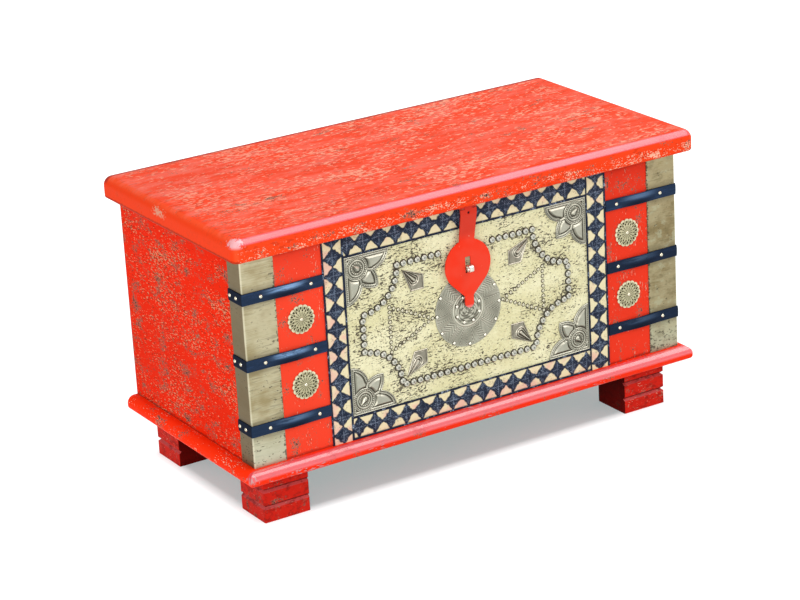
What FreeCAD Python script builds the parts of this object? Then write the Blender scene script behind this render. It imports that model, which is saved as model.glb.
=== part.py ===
"""Painted storage chest: a boarded box on a moulded base and four block feet, with a hinged lid.

The front carries folded brass corners, bent iron straps, a carved border, stamped metal plates,
domed nails and a hasp that hangs from the lid over a staple.

Millimetres. The origin is on the floor under the middle of the chest, +X to the right, +Z up,
and the front faces -Y. Each piece is written to parts/NAME.step.
"""
import FreeCAD
import Part
import math
import os

Vector = FreeCAD.Vector

# Lid
LID_WIDTH = 800.0
LID_DEPTH = 408.0
LID_THICKNESS = 34.0
LID_TOP_ROUND = 14.0
LID_UNDER_ROUND = 4.0
LID_CORNER_ROUND = 12.0
LID_SIDE_OVERHANG = 22.0
LID_FRONT_OVERHANG = 26.0
LID_BACK_OVERHANG = 12.0

# Box
BOX_HEIGHT = 320.0
WALL = 18.0
BOTTOM_THICKNESS = 12.0
BOARD_EDGE_ROUND = 1.0

# Base moulding
BASE_HEIGHT = 22.0
BASE_OVERHANG = 17.5
BASE_RAIL_WIDTH = 62.0
BASE_TOP_ROUND = 12.0
BASE_UNDER_ROUND = 7.0

# Feet
FOOT_WIDTH = 76.0
FOOT_DEPTH = 70.0
FOOT_HEIGHT = 74.0
FOOT_SIDE_INSET = 17.0
FOOT_FRONT_INSET = 14.0
FOOT_BACK_INSET = 23.0
FOOT_EDGE_ROUND = 1.5
FOOT_GROOVE_LEVEL_SHARES = (0.324, 0.676)
FOOT_GROOVE_HALF_HEIGHT = 3.5
FOOT_GROOVE_DEPTH = 4.0

# Dowels
CORNER_DOWEL_RADIUS = 4.0
CORNER_DOWEL_LENGTH = 30.0
CORNER_DOWEL_SIDE_DEPTH = 12.0
FOOT_DOWEL_RADIUS = 6.0
FOOT_DOWEL_RAIL_DEPTH = 16.0
FOOT_DOWEL_FOOT_DEPTH = 26.0

# Carved border on the front
BORDER_END_INSET = 130.0
BORDER_STILE = 36.0
BORDER_TOP_RAIL = 38.0
BORDER_BOTTOM_RAIL = 36.0
BORDER_THICKNESS = 2.0
BORDER_LID_GAP = 0.5

# Brass corner strips
BRASS_SHEET = 1.0
BRASS_FRONT_LEAF = 53.0
BRASS_SIDE_LEAF = 37.0
BRASS_BEND_ROUND = 0.9

# Iron straps
STRAP_HEIGHT = 17.5
STRAP_SHEET = 2.0
STRAP_TOP_DROP = 63.0
STRAP_BOTTOM_RISE = 57.0
STRAP_END_GAP = 0.5
STRAP_BEND_ROUND = 1.5
STRAP_NAIL_CORNER_INSET = 29.0
STRAP_NAIL_END_INSET = 19.5
STRAP_NAIL_SIDE_INSETS = (14.0, 31.5)

# Domed nails and studs
NAIL_HEAD_RADIUS = 2.8
NAIL_HEAD_HEIGHT = 1.8
NAIL_SHANK_RADIUS = 0.9
NAIL_SHANK_LENGTH = 14.0
LINE_NAIL_HEAD_RADIUS = 2.3
LINE_NAIL_HEAD_HEIGHT = 1.6
LINE_NAIL_SHANK_LENGTH = 9.0
LINE_NAIL_PITCH = 8.0
STUD_HEAD_RADIUS = 5.3
STUD_HEAD_HEIGHT = 3.6
STUD_SHANK_RADIUS = 1.1
STUD_SHANK_LENGTH = 11.0
STUD_PITCH = 11.9

# Stamped plates
PLATE_SHEET = 1.0
PLATE_EDGE_GAP = 0.5
CORNER_PLATE_LEG_SHARE = 0.3538
CORNER_PLATE_EDGE_LEAF = (0.91, 0.23)
CORNER_PLATE_NOTCH = (0.70, 0.41)
CORNER_PLATE_DIAGONAL_LEAF = (0.75, 0.58)
CORNER_PLATE_DIAGONAL_TIP = 0.71
CORNER_PLATE_BOSS_INSET_SHARE = 0.3067
CORNER_PLATE_BOSS_SHARE = 0.2267
PLATE_BOSS_HEIGHT = 1.6
DROP_PLATE_LENGTH_SHARE = 0.4454
DROP_PLATE_SHOULDER_SHARE = 0.698
DROP_PLATE_HALF_WIDTH_SHARE = 0.302
DROP_PLATE_BOSS_SHARE = 0.17
DROP_TIP_ROW_INSET = 7.0
DROP_TIP_ROW_GAP = 9.0
ROUND_PLATE_RADIUS_SHARE = 0.311
ROUND_PLATE_STAPLE_GAP = 6.0
ROUND_PLATE_RING_SHARE = 0.448
ROUND_PLATE_RING_WIDTH = 2.4
ROUND_PLATE_RIM_NAIL_INSET = 3.2
ROUND_PLATE_RIM_NAIL_COUNT = 12
ROUND_PLATE_INNER_NAIL_SHARE = 0.362
ROUND_PLATE_INNER_NAIL_COUNT = 8

# Rosettes
ROSETTE_RADIUS = 22.0
ROSETTE_SHEET = 1.2
ROSETTE_DOME = 2.4
ROSETTE_PETAL_COUNT = 16
ROSETTE_SCALLOP = 1.6

# Layout of the studs and of the small nails
METALWORK_SHIFT_X = -5.0
CARTOUCHE_SIDE_MARGIN = 31.0
CARTOUCHE_TOP_MARGIN = 30.5
CARTOUCHE_BOTTOM_MARGIN = 28.5
CARTOUCHE_CORNER_RUN_SHARE = 0.504
CARTOUCHE_COLUMN_HALF = 29.5
CARTOUCHE_CORNER_STEP_COUNT = 60
BOW_TIE_COLUMN_SHARE = 0.626
BOW_TIE_HALF_HEIGHT_SHARE = 0.1877

# Lid hinges
HINGE_END_INSET = 128.0
HINGE_LENGTH = 60.0
HINGE_SETOUT = 2.0
HINGE_LEAF_WIDTH = 18.0
HINGE_LEAF_SHEET = 1.5
HINGE_LEAF_GAP = 0.1
HINGE_KNUCKLE_RADIUS = 4.0
HINGE_KNUCKLE_COUNT = 5
HINGE_PIN_RADIUS = 1.6
HINGE_SCREW_SPACING = 20.0
HINGE_SCREW_FROM_AXIS = 10.0
HINGE_SCREW_LENGTH = 18.0

# Screws
SCREW_HEAD_RADIUS = 2.8
SCREW_RADIUS = 1.4

# Hasp, its hinge and its staple
HASP_SHEET = 2.0
HASP_STANDOFF = 4.5
HASP_DISC_RADIUS = 39.5
HASP_DISC_DROP_SHARE = 0.2969
HASP_TAPER = math.radians(45.0)
HASP_TIP_HALF_WIDTH = 7.5
HASP_TIP_LENGTH = 18.6
HASP_TAB_WIDTH = 28.0
HASP_NECK_WIDTH = 26.0
HASP_BEND_DROP = 12.0
HASP_HOLE_RADIUS = 2.2
HASP_HOLE_DROP = 9.0
HASP_SLOT_WIDTH = 9.6
HASP_SLOT_LENGTH = 25.0
HASP_TONGUE_WIDTH = 14.0
HASP_KNUCKLE_RADIUS = 2.8
HASP_PIN_RADIUS = 1.4
HASP_AXIS_DROP = 3.6
HASP_AXIS_FRONT_INSET = 14.0
BRACKET_SHEET = 1.5
BRACKET_FRONT_INSET = 12.5
BRACKET_BORDER_GAP = 1.0
BRACKET_SCREW_LENGTH = 12.0
BRACKET_SCREW_SPACING = 18.0
STAPLE_WIDTH = 7.0
STAPLE_BORE_RADIUS = 4.2
STAPLE_STRIP = 1.8
STAPLE_DEPTH_IN_PANEL = 14.0
STAPLE_BELOW_SLOT_MIDDLE = 5.0
STAPLE_HASP_GAP = 0.3

# Clearances
RUNNING_CLEARANCE = 0.05
MOVING_CLEARANCE = 0.3
NAIL_HOLE_CLEARANCE = 0.05

# Places worked out from the sizes above
BASE_TOP = FOOT_HEIGHT + BASE_HEIGHT
BOX_TOP = BASE_TOP + BOX_HEIGHT
LID_TOP = BOX_TOP + LID_THICKNESS
LID_BACK = LID_DEPTH / 2
LID_FRONT = -LID_DEPTH / 2
BOX_BACK = LID_BACK - LID_BACK_OVERHANG
BOX_FRONT = LID_FRONT + LID_FRONT_OVERHANG
BOX_HALF = LID_WIDTH / 2 - LID_SIDE_OVERHANG
BASE_HALF = BOX_HALF + BASE_OVERHANG
BASE_FRONT = BOX_FRONT - BASE_OVERHANG
INNER_HALF = BOX_HALF - WALL
BORDER_HALF = BOX_HALF - BORDER_END_INSET
FIELD_HALF = BORDER_HALF - BORDER_STILE
FIELD_BOTTOM = BASE_TOP + BORDER_BOTTOM_RAIL
BORDER_TOP = BOX_TOP - BORDER_LID_GAP
FIELD_TOP = BORDER_TOP - BORDER_TOP_RAIL
BORDER_FACE = BOX_FRONT - BORDER_THICKNESS
PANEL_HALF = BORDER_HALF - BORDER_STILE / 2
BRASS_HALF = BOX_HALF + BRASS_SHEET
BRASS_FACE = BOX_FRONT - BRASS_SHEET
STRAP_HALF = BRASS_HALF + STRAP_SHEET
STRAP_FACE = BRASS_FACE - STRAP_SHEET
STRAP_END = BORDER_HALF + STRAP_END_GAP
STRAP_TOP_LEVEL = BOX_TOP - STRAP_TOP_DROP
STRAP_BOTTOM_LEVEL = BASE_TOP + STRAP_BOTTOM_RISE
STRAP_MIDDLE_LEVEL = (STRAP_TOP_LEVEL + STRAP_BOTTOM_LEVEL) / 2
STRAP_LEVELS = {"bottom": STRAP_BOTTOM_LEVEL, "middle": STRAP_MIDDLE_LEVEL, "top": STRAP_TOP_LEVEL}
ROSETTE_X = (BORDER_HALF + BRASS_HALF - BRASS_FRONT_LEAF) / 2
ROSETTE_LEVELS = {
    "lower": (STRAP_BOTTOM_LEVEL + STRAP_MIDDLE_LEVEL) / 2,
    "upper": (STRAP_MIDDLE_LEVEL + STRAP_TOP_LEVEL) / 2,
}
PLATE_FACE = BOX_FRONT - PLATE_SHEET
CORNER_PLATE_LEG = FIELD_HALF * CORNER_PLATE_LEG_SHARE
CORNER_PLATE_BOSS_INSET = CORNER_PLATE_LEG * CORNER_PLATE_BOSS_INSET_SHARE
CORNER_PLATE_BOSS_RADIUS = CORNER_PLATE_LEG * CORNER_PLATE_BOSS_SHARE
CARTOUCHE_HALF = FIELD_HALF - CARTOUCHE_SIDE_MARGIN
CARTOUCHE_TOP = FIELD_TOP - CARTOUCHE_TOP_MARGIN
CARTOUCHE_BOTTOM = FIELD_BOTTOM + CARTOUCHE_BOTTOM_MARGIN
CARTOUCHE_HEIGHT = CARTOUCHE_TOP - CARTOUCHE_BOTTOM
ROUND_PLATE_RADIUS = CARTOUCHE_HEIGHT * ROUND_PLATE_RADIUS_SHARE
CARTOUCHE_CORNER_RUN = (CARTOUCHE_HALF - ROUND_PLATE_RADIUS) * CARTOUCHE_CORNER_RUN_SHARE
CARTOUCHE_ROW_HALF = CARTOUCHE_HALF - CARTOUCHE_CORNER_RUN
CARTOUCHE_CORNER_RISE = CARTOUCHE_HEIGHT / 2 - CARTOUCHE_COLUMN_HALF
DROP_PLATE_LENGTH = CARTOUCHE_ROW_HALF * DROP_PLATE_LENGTH_SHARE
DROP_PLATE_SHOULDER = DROP_PLATE_LENGTH * DROP_PLATE_SHOULDER_SHARE
DROP_PLATE_HALF_WIDTH = DROP_PLATE_LENGTH * DROP_PLATE_HALF_WIDTH_SHARE
DROP_PLATE_BOSS_RADIUS = DROP_PLATE_LENGTH * DROP_PLATE_BOSS_SHARE
HINGE_Y = BOX_BACK + HINGE_SETOUT
HINGE_Z = BOX_TOP
HASP_X = METALWORK_SHIFT_X
HASP_AXIS_Y = LID_FRONT + HASP_AXIS_FRONT_INSET
HASP_AXIS_Z = BOX_TOP - HASP_AXIS_DROP
HASP_DISC_Z = BOX_TOP - BOX_HEIGHT * HASP_DISC_DROP_SHARE
HASP_BACK = BOX_FRONT - HASP_STANDOFF
HASP_FACE = HASP_BACK - HASP_SHEET
STAPLE_RADIUS = STAPLE_BORE_RADIUS + STAPLE_STRIP
STAPLE_Y = HASP_FACE - STAPLE_HASP_GAP - STAPLE_BORE_RADIUS
STAPLE_Z = HASP_DISC_Z - STAPLE_BELOW_SLOT_MIDDLE
ROUND_PLATE_Z = STAPLE_Z - STAPLE_STRIP - ROUND_PLATE_STAPLE_GAP - ROUND_PLATE_RADIUS
ROUND_PLATE_RING_RADIUS = ROUND_PLATE_RADIUS * ROUND_PLATE_RING_SHARE
BOW_TIE_COLUMN = ROUND_PLATE_RADIUS + (CARTOUCHE_HALF - ROUND_PLATE_RADIUS) * BOW_TIE_COLUMN_SHARE
BOW_TIE_HALF_HEIGHT = CARTOUCHE_HEIGHT * BOW_TIE_HALF_HEIGHT_SHARE

SIDES = {"left": -1, "right": 1}
ALONG_X = Vector(1, 0, 0)
TO_FRONT = Vector(0, -1, 0)
UP = Vector(0, 0, 1)
DOWN = Vector(0, 0, -1)


def block(x_range, y_range, z_range):
    """A box between two limits on each axis, given in any order."""
    lows = [min(limits) for limits in (x_range, y_range, z_range)]
    sizes = [abs(limits[1] - limits[0]) for limits in (x_range, y_range, z_range)]
    return Part.makeBox(*sizes, Vector(*lows))


def rounded(shape, radius, keep):
    """Rounds the edges for which keep(edge) is true."""
    edges = [edge for edge in shape.Edges if keep(edge)]
    return shape.makeFillet(radius, edges)


def runs_along(edge, axis):
    """True for a straight edge along the axis named x, y or z."""
    box = edge.BoundBox
    lengths = {"x": box.XLength, "y": box.YLength, "z": box.ZLength}
    return all((length > 1e-6) == (name == axis) for name, length in lengths.items())


def front_prism(edges, back, front):
    """Extrudes a closed outline, drawn in the plane y = back, to y = front."""
    face = Part.Face(Part.Wire(edges))
    return face.extrude(Vector(0, front - back, 0))


def outline(points):
    """Edges of a closed outline of 3-D points; a pair (middle, end) draws an arc through both."""
    edges = []
    here = points[0]
    for step in points[1:] + [points[0]]:
        if isinstance(step, tuple):
            edges.append(Part.Arc(here, step[0], step[1]).toShape())
            here = step[1]
        else:
            edges.append(Part.LineSegment(here, step).toShape())
            here = step
    return edges


def domed_nail(place, direction, head_radius, head_height, shank_radius, shank_length):
    """A nail whose domed head sits at place; direction points out of the surface."""
    sphere_radius = (head_radius ** 2 + head_height ** 2) / (2 * head_height)
    rim = Vector(head_radius, 0, 0)
    crown = Vector(0, 0, head_height)
    half_angle = math.asin(min(1.0, head_radius / sphere_radius)) / 2
    middle_z = head_height - sphere_radius * (1 - math.cos(half_angle))
    middle = Vector(sphere_radius * math.sin(half_angle), 0, middle_z)
    edges = outline([
        Vector(0, 0, -shank_length),
        Vector(shank_radius, 0, -shank_length),
        Vector(shank_radius, 0, 0),
        rim,
        (middle, crown),
    ])
    nail = Part.Face(Part.Wire(edges)).revolve(Vector(0, 0, 0), UP, 360)
    nail.Placement = FreeCAD.Placement(place, FreeCAD.Rotation(UP, direction))
    return nail


def strap_nail(place, direction):
    """The nail that holds straps, rosettes and the round plate."""
    return domed_nail(place, direction, NAIL_HEAD_RADIUS, NAIL_HEAD_HEIGHT,
                      NAIL_SHANK_RADIUS, NAIL_SHANK_LENGTH)


def line_nail(place):
    """The small nail of the bow-tie figures."""
    return domed_nail(place, TO_FRONT, LINE_NAIL_HEAD_RADIUS, LINE_NAIL_HEAD_HEIGHT,
                      NAIL_SHANK_RADIUS, LINE_NAIL_SHANK_LENGTH)


def stud(place):
    """The large domed stud of the cartouche."""
    return domed_nail(place, TO_FRONT, STUD_HEAD_RADIUS, STUD_HEAD_HEIGHT,
                      STUD_SHANK_RADIUS, STUD_SHANK_LENGTH)


def nail_hole(place, direction, shank_radius, shank_length):
    """The hole that a nail's shank leaves behind its head at place."""
    radius = shank_radius + NAIL_HOLE_CLEARANCE
    depth = shank_length + NAIL_HOLE_CLEARANCE
    return Part.makeCylinder(radius, depth, place, -direction)


def screw(place, direction, length):
    """A countersunk screw whose flat head is at place and which runs along direction."""
    head_depth = SCREW_HEAD_RADIUS - SCREW_RADIUS
    edges = outline([
        Vector(0, 0, 0),
        Vector(SCREW_HEAD_RADIUS, 0, 0),
        Vector(SCREW_RADIUS, 0, head_depth),
        Vector(SCREW_RADIUS, 0, length),
        Vector(0, 0, length),
    ])
    body = Part.Face(Part.Wire(edges)).revolve(Vector(0, 0, 0), UP, 360)
    body.Placement = FreeCAD.Placement(place, FreeCAD.Rotation(UP, direction))
    return body


def spread(first, last, pitch):
    """Evenly spaced points from first to last, about pitch apart."""
    count = max(1, round((last - first).Length / pitch))
    return [first + (last - first) * (index / count) for index in range(count + 1)]


def on_front(x, z, depth=BOX_FRONT):
    """A point of the front, at depth."""
    return Vector(x, depth, z)


def cartouche_path():
    """Close points along the cartouche: straight rows and columns, with hollow quarter-ellipse corners."""
    points = []
    steps = CARTOUCHE_CORNER_STEP_COUNT
    for index in range(4):
        side = 1 if index in (0, 1) else -1
        level = 1 if index in (0, 3) else -1
        corner_z = CARTOUCHE_TOP if level > 0 else CARTOUCHE_BOTTOM
        arc = []
        for step in range(steps + 1):
            angle = math.pi / 2 * step / steps
            x = side * (CARTOUCHE_HALF - CARTOUCHE_CORNER_RUN * math.cos(angle))
            z = corner_z - level * CARTOUCHE_CORNER_RISE * math.sin(angle)
            arc.append(on_front(METALWORK_SHIFT_X + x, z))
        points += arc if index in (0, 2) else arc[::-1]
    return points + points[:1]


def stud_places():
    """Stud centres, evenly spaced along the cartouche, apart from those that the hasp would lie on."""
    path = cartouche_path()
    lengths = [0.0]
    for first, last in zip(path, path[1:]):
        lengths.append(lengths[-1] + (last - first).Length)
    count = round(lengths[-1] / STUD_PITCH)
    hasp_reach = HASP_DISC_RADIUS + STUD_HEAD_RADIUS
    places = []
    index = 0
    for number in range(count):
        goal = lengths[-1] * number / count
        while lengths[index + 1] < goal:
            index += 1
        share = (goal - lengths[index]) / (lengths[index + 1] - lengths[index])
        place = path[index] + (path[index + 1] - path[index]) * share
        if (place - on_front(HASP_X, HASP_DISC_Z)).Length > hasp_reach:
            places.append(place)
    return places


def bow_tie_places():
    """Small nails: an upright row on each side, and two rows from its ends to the round plate."""
    places = []
    for side in SIDES.values():
        row_x = METALWORK_SHIFT_X + side * BOW_TIE_COLUMN
        top = on_front(row_x, ROUND_PLATE_Z + BOW_TIE_HALF_HEIGHT)
        bottom = on_front(row_x, ROUND_PLATE_Z - BOW_TIE_HALF_HEIGHT)
        meet_x = METALWORK_SHIFT_X + side * (ROUND_PLATE_RADIUS + LINE_NAIL_PITCH / 2)
        meet = on_front(meet_x, ROUND_PLATE_Z)
        places += spread(bottom, top, LINE_NAIL_PITCH)
        places += spread(top, meet, LINE_NAIL_PITCH)[1:]
        places += spread(bottom, meet, LINE_NAIL_PITCH)[1:-1]
    return places


def round_plate_nail_places():
    """Nail places on the round plate: a ring near the rim and one inside the embossed ring."""
    rings = (
        (ROUND_PLATE_RADIUS - ROUND_PLATE_RIM_NAIL_INSET, ROUND_PLATE_RIM_NAIL_COUNT, 0.0),
        (ROUND_PLATE_RADIUS * ROUND_PLATE_INNER_NAIL_SHARE, ROUND_PLATE_INNER_NAIL_COUNT, 0.5),
    )
    places = []
    for radius, count, offset in rings:
        for number in range(count):
            angle = 2 * math.pi * (number + offset) / count
            x = METALWORK_SHIFT_X + radius * math.cos(angle)
            z = ROUND_PLATE_Z + radius * math.sin(angle)
            places.append(on_front(x, z, PLATE_FACE))
    return places


def strap_nail_places():
    """Place and outward direction of each nail that holds a strap."""
    places = []
    for side in SIDES.values():
        for level in STRAP_LEVELS.values():
            for x in (BRASS_HALF - STRAP_NAIL_CORNER_INSET, STRAP_END + STRAP_NAIL_END_INSET):
                places.append((on_front(side * x, level, STRAP_FACE), TO_FRONT))
            for inset in STRAP_NAIL_SIDE_INSETS:
                place = Vector(side * STRAP_HALF, BOX_FRONT + inset, level)
                places.append((place, Vector(side, 0, 0)))
    return places


def rosette_places():
    """Centre of each rosette on the front, by name."""
    return {
        f"{side}_{level}": on_front(sign * ROSETTE_X, z)
        for side, sign in SIDES.items()
        for level, z in ROSETTE_LEVELS.items()
    }


def rosette_crown(place):
    """The point on a rosette's dome where its nail sits."""
    return place + TO_FRONT * ROSETTE_DOME


def make_lid():
    """The lid board: all edges rounded, let in below for the hinges and their screws."""
    lid = block((-LID_WIDTH / 2, LID_WIDTH / 2), (LID_FRONT, LID_BACK), (BOX_TOP, LID_TOP))
    lid = rounded(lid, LID_CORNER_ROUND, lambda edge: runs_along(edge, "z"))
    lid = rounded(lid, LID_TOP_ROUND, lambda edge: edge.BoundBox.ZMin > LID_TOP - 1e-6)
    lid = rounded(lid, LID_UNDER_ROUND, lambda edge: edge.BoundBox.ZMax < BOX_TOP + 1e-6)
    for x in hinge_centres().values():
        lid = lid.cut(hinge_mortise(x, 1)).cut(hinge_groove(x))
    return lid.cut(Part.makeCompound(hinge_screws(1) + bracket_screws()))


def make_side_board(sign):
    """A side board, as deep as the box; its back corner is eased."""
    outer = sign * BOX_HALF
    board = block((sign * INNER_HALF, outer), (BOX_FRONT, BOX_BACK), (BASE_TOP, BOX_TOP))

    def back_corner(edge):
        box = edge.BoundBox
        return runs_along(edge, "z") and abs(box.XMin - outer) < 1e-6 and box.YMin > BOX_BACK - 1e-6

    return rounded(board, BOARD_EDGE_ROUND, back_corner)


def make_back_board():
    """The back board between the sides, let in along its top for the hinges."""
    board = block((-INNER_HALF, INNER_HALF), (BOX_BACK - WALL, BOX_BACK), (BASE_TOP, BOX_TOP))
    for x in hinge_centres().values():
        board = board.cut(hinge_mortise(x, -1)).cut(hinge_groove(x))
    return board.cut(Part.makeCompound(hinge_screws(-1)))


def make_front_board(sign):
    """A red board of the front, from a side board to the joint behind a carved stile."""
    return block((sign * PANEL_HALF, sign * INNER_HALF), (BOX_FRONT, BOX_FRONT + WALL), (BASE_TOP, BOX_TOP))


def make_front_panel():
    """The cream middle of the front, with the staple's slot."""
    panel = block((-PANEL_HALF, PANEL_HALF), (BOX_FRONT, BOX_FRONT + WALL), (BASE_TOP, BOX_TOP))
    return panel.cut(make_staple_stem())


def make_bottom_board():
    """The bottom, on the base rails between the four walls."""
    y_range = (BOX_FRONT + WALL, BOX_BACK - WALL)
    return block((-INNER_HALF, INNER_HALF), y_range, (BASE_TOP, BASE_TOP + BOTTOM_THICKNESS))


def mitre(sign, towards_front):
    """A wedge that cuts a base rail at 45 degrees at a front corner."""
    corner = Vector(sign * BASE_HALF, BASE_FRONT, FOOT_HEIGHT)
    diagonal = corner + Vector(-sign * BASE_RAIL_WIDTH, BASE_RAIL_WIDTH, 0)
    beside = Vector(-sign * BASE_RAIL_WIDTH, 0, 0) if towards_front else Vector(0, BASE_RAIL_WIDTH, 0)
    face = Part.Face(Part.makePolygon([corner, diagonal, corner + beside, corner]))
    return face.extrude(Vector(0, 0, BASE_HEIGHT))


def nosed(rail, on_nose):
    """Rounds a base rail's outer top and bottom edges to a soft nose."""
    middle = FOOT_HEIGHT + BASE_HEIGHT / 2
    rail = rounded(rail, BASE_TOP_ROUND, lambda edge: on_nose(edge) and edge.BoundBox.ZMin > middle)
    return rounded(rail, BASE_UNDER_ROUND, lambda edge: on_nose(edge) and edge.BoundBox.ZMax < middle)


def make_base_front_rail():
    """The front base rail, mitred at both ends."""
    rail = block((-BASE_HALF, BASE_HALF), (BASE_FRONT, BASE_FRONT + BASE_RAIL_WIDTH), (FOOT_HEIGHT, BASE_TOP))
    rail = nosed(rail, lambda edge: runs_along(edge, "x") and edge.BoundBox.YMax < BASE_FRONT + 1e-6)
    return rail.cut(mitre(-1, False)).cut(mitre(1, False))


def make_base_side_rail(sign):
    """A side base rail, mitred at the front and square at the back."""
    outer = sign * BASE_HALF
    rail = block((outer, outer - sign * BASE_RAIL_WIDTH), (BASE_FRONT, BOX_BACK), (FOOT_HEIGHT, BASE_TOP))
    rail = nosed(rail, lambda edge: runs_along(edge, "y") and abs(edge.BoundBox.XMin - outer) < 1e-6)
    return rail.cut(mitre(sign, True))


def make_base_back_rail():
    """The plain back rail between the side rails."""
    inner = BASE_HALF - BASE_RAIL_WIDTH
    return block((-inner, inner), (BOX_BACK - BASE_RAIL_WIDTH, BOX_BACK), (FOOT_HEIGHT, BASE_TOP))


def foot_outer_corner(sign, front):
    """The outer corner of a foot on the floor, and the direction from it into the foot."""
    x = sign * (BOX_HALF - FOOT_SIDE_INSET)
    y = BOX_FRONT + FOOT_FRONT_INSET if front else BOX_BACK - FOOT_BACK_INSET
    return x, y, (1 if front else -1)


def make_foot(sign, front):
    """A block foot with grooves round its two outward faces."""
    x, y, inward = foot_outer_corner(sign, front)
    foot = block((x, x - sign * FOOT_WIDTH), (y, y + inward * FOOT_DEPTH), (0, FOOT_HEIGHT))
    foot = rounded(foot, FOOT_EDGE_ROUND, lambda edge: runs_along(edge, "z"))
    half = FOOT_GROOVE_HALF_HEIGHT
    for share in FOOT_GROOVE_LEVEL_SHARES:
        level = share * FOOT_HEIGHT
        side_wedge = [
            Vector(x + sign * FOOT_GROOVE_DEPTH, y - inward * FOOT_GROOVE_DEPTH, level - 2 * half),
            Vector(x + sign * FOOT_GROOVE_DEPTH, y - inward * FOOT_GROOVE_DEPTH, level + 2 * half),
            Vector(x - sign * FOOT_GROOVE_DEPTH, y - inward * FOOT_GROOVE_DEPTH, level),
        ]
        face_wedge = [
            Vector(x + sign * FOOT_GROOVE_DEPTH, y - inward * FOOT_GROOVE_DEPTH, level - 2 * half),
            Vector(x + sign * FOOT_GROOVE_DEPTH, y - inward * FOOT_GROOVE_DEPTH, level + 2 * half),
            Vector(x + sign * FOOT_GROOVE_DEPTH, y + inward * FOOT_GROOVE_DEPTH, level),
        ]
        along_side = Vector(0, inward * (FOOT_DEPTH + 2 * FOOT_GROOVE_DEPTH), 0)
        along_face = Vector(-sign * (FOOT_WIDTH + 2 * FOOT_GROOVE_DEPTH), 0, 0)
        foot = foot.cut(Part.Face(Part.Wire(outline(side_wedge))).extrude(along_side))
        foot = foot.cut(Part.Face(Part.Wire(outline(face_wedge))).extrude(along_face))
    return foot


def corner_dowels():
    """Dowels that join the front and back boards to the sides, at the levels between the straps."""
    dowels = []
    for sign in SIDES.values():
        start = sign * (INNER_HALF + CORNER_DOWEL_SIDE_DEPTH)
        inward = ALONG_X * -sign
        for y in (BOX_FRONT + WALL / 2, BOX_BACK - WALL / 2):
            for z in ROSETTE_LEVELS.values():
                place = Vector(start, y, z)
                dowels.append(Part.makeCylinder(CORNER_DOWEL_RADIUS, CORNER_DOWEL_LENGTH, place, inward))
    return dowels


def foot_dowels():
    """One upright dowel in each foot, where the foot lies under a side rail and an end rail."""
    dowels = []
    for sign in SIDES.values():
        for front in (True, False):
            x, y, inward = foot_outer_corner(sign, front)
            dowel_x = (x + sign * (BASE_HALF - BASE_RAIL_WIDTH)) / 2
            dowel_y = y + inward * FOOT_DEPTH / 2
            place = Vector(dowel_x, dowel_y, FOOT_HEIGHT - FOOT_DOWEL_FOOT_DEPTH)
            length = FOOT_DOWEL_FOOT_DEPTH + FOOT_DOWEL_RAIL_DEPTH
            dowels.append(Part.makeCylinder(FOOT_DOWEL_RADIUS, length, place, UP))
    return dowels


def make_border_stile(sign):
    """A carved stile, as high as the front."""
    return block((sign * FIELD_HALF, sign * BORDER_HALF), (BORDER_FACE, BOX_FRONT), (BASE_TOP, BORDER_TOP))


def make_border_rail(z_range):
    """A carved rail between the stiles."""
    return block((-FIELD_HALF, FIELD_HALF), (BORDER_FACE, BOX_FRONT), z_range)


def folded_strip(sign, inner_half, inner_face, sheet, front_end, side_end, z_range, round_radius):
    """A strip folded round a front corner: a leaf on the front and a leaf on the side."""
    inner_x = sign * inner_half
    outer_x = sign * (inner_half + sheet)
    front_leaf = block((sign * front_end, outer_x), (inner_face, inner_face - sheet), z_range)
    side_leaf = block((inner_x, outer_x), (inner_face, side_end), z_range)
    strip = front_leaf.fuse(side_leaf).removeSplitter()

    def fold(edge):
        box = edge.BoundBox
        return runs_along(edge, "z") and abs(box.XMin - outer_x) < 1e-6 and box.YMax < inner_face - 1e-6

    return rounded(strip, round_radius, fold)


def make_brass_corner(sign):
    """A brass strip folded round a front corner."""
    front_end = BRASS_HALF - BRASS_FRONT_LEAF
    side_end = BOX_FRONT + BRASS_SIDE_LEAF
    return folded_strip(sign, BOX_HALF, BOX_FRONT, BRASS_SHEET, front_end, side_end,
                        (BASE_TOP, BOX_TOP), BRASS_BEND_ROUND)


def make_strap(sign, level):
    """An iron strap from a carved stile round the corner, as far as the brass goes."""
    side_end = BOX_FRONT + BRASS_SIDE_LEAF
    z_range = (level - STRAP_HEIGHT / 2, level + STRAP_HEIGHT / 2)
    return folded_strip(sign, BRASS_HALF, BRASS_FACE, STRAP_SHEET, STRAP_END, side_end,
                        z_range, STRAP_BEND_ROUND)


def make_rosette(place):
    """A shallow domed disc with a scalloped edge."""
    rise = ROSETTE_DOME - ROSETTE_SHEET
    sphere_radius = (ROSETTE_RADIUS ** 2 + rise ** 2) / (2 * rise)
    disc = Part.makeCylinder(ROSETTE_RADIUS, ROSETTE_DOME, place, TO_FRONT)
    dome = Part.makeSphere(sphere_radius, place + TO_FRONT * (ROSETTE_DOME - sphere_radius))
    rosette = disc.common(dome)
    notches = []
    for number in range(ROSETTE_PETAL_COUNT):
        angle = 2 * math.pi * number / ROSETTE_PETAL_COUNT
        centre = place + Vector(math.cos(angle), 0, math.sin(angle)) * ROSETTE_RADIUS
        notches.append(Part.makeCylinder(ROSETTE_SCALLOP, ROSETTE_DOME, centre, TO_FRONT))
    return rosette.cut(Part.makeCompound(notches))


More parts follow.
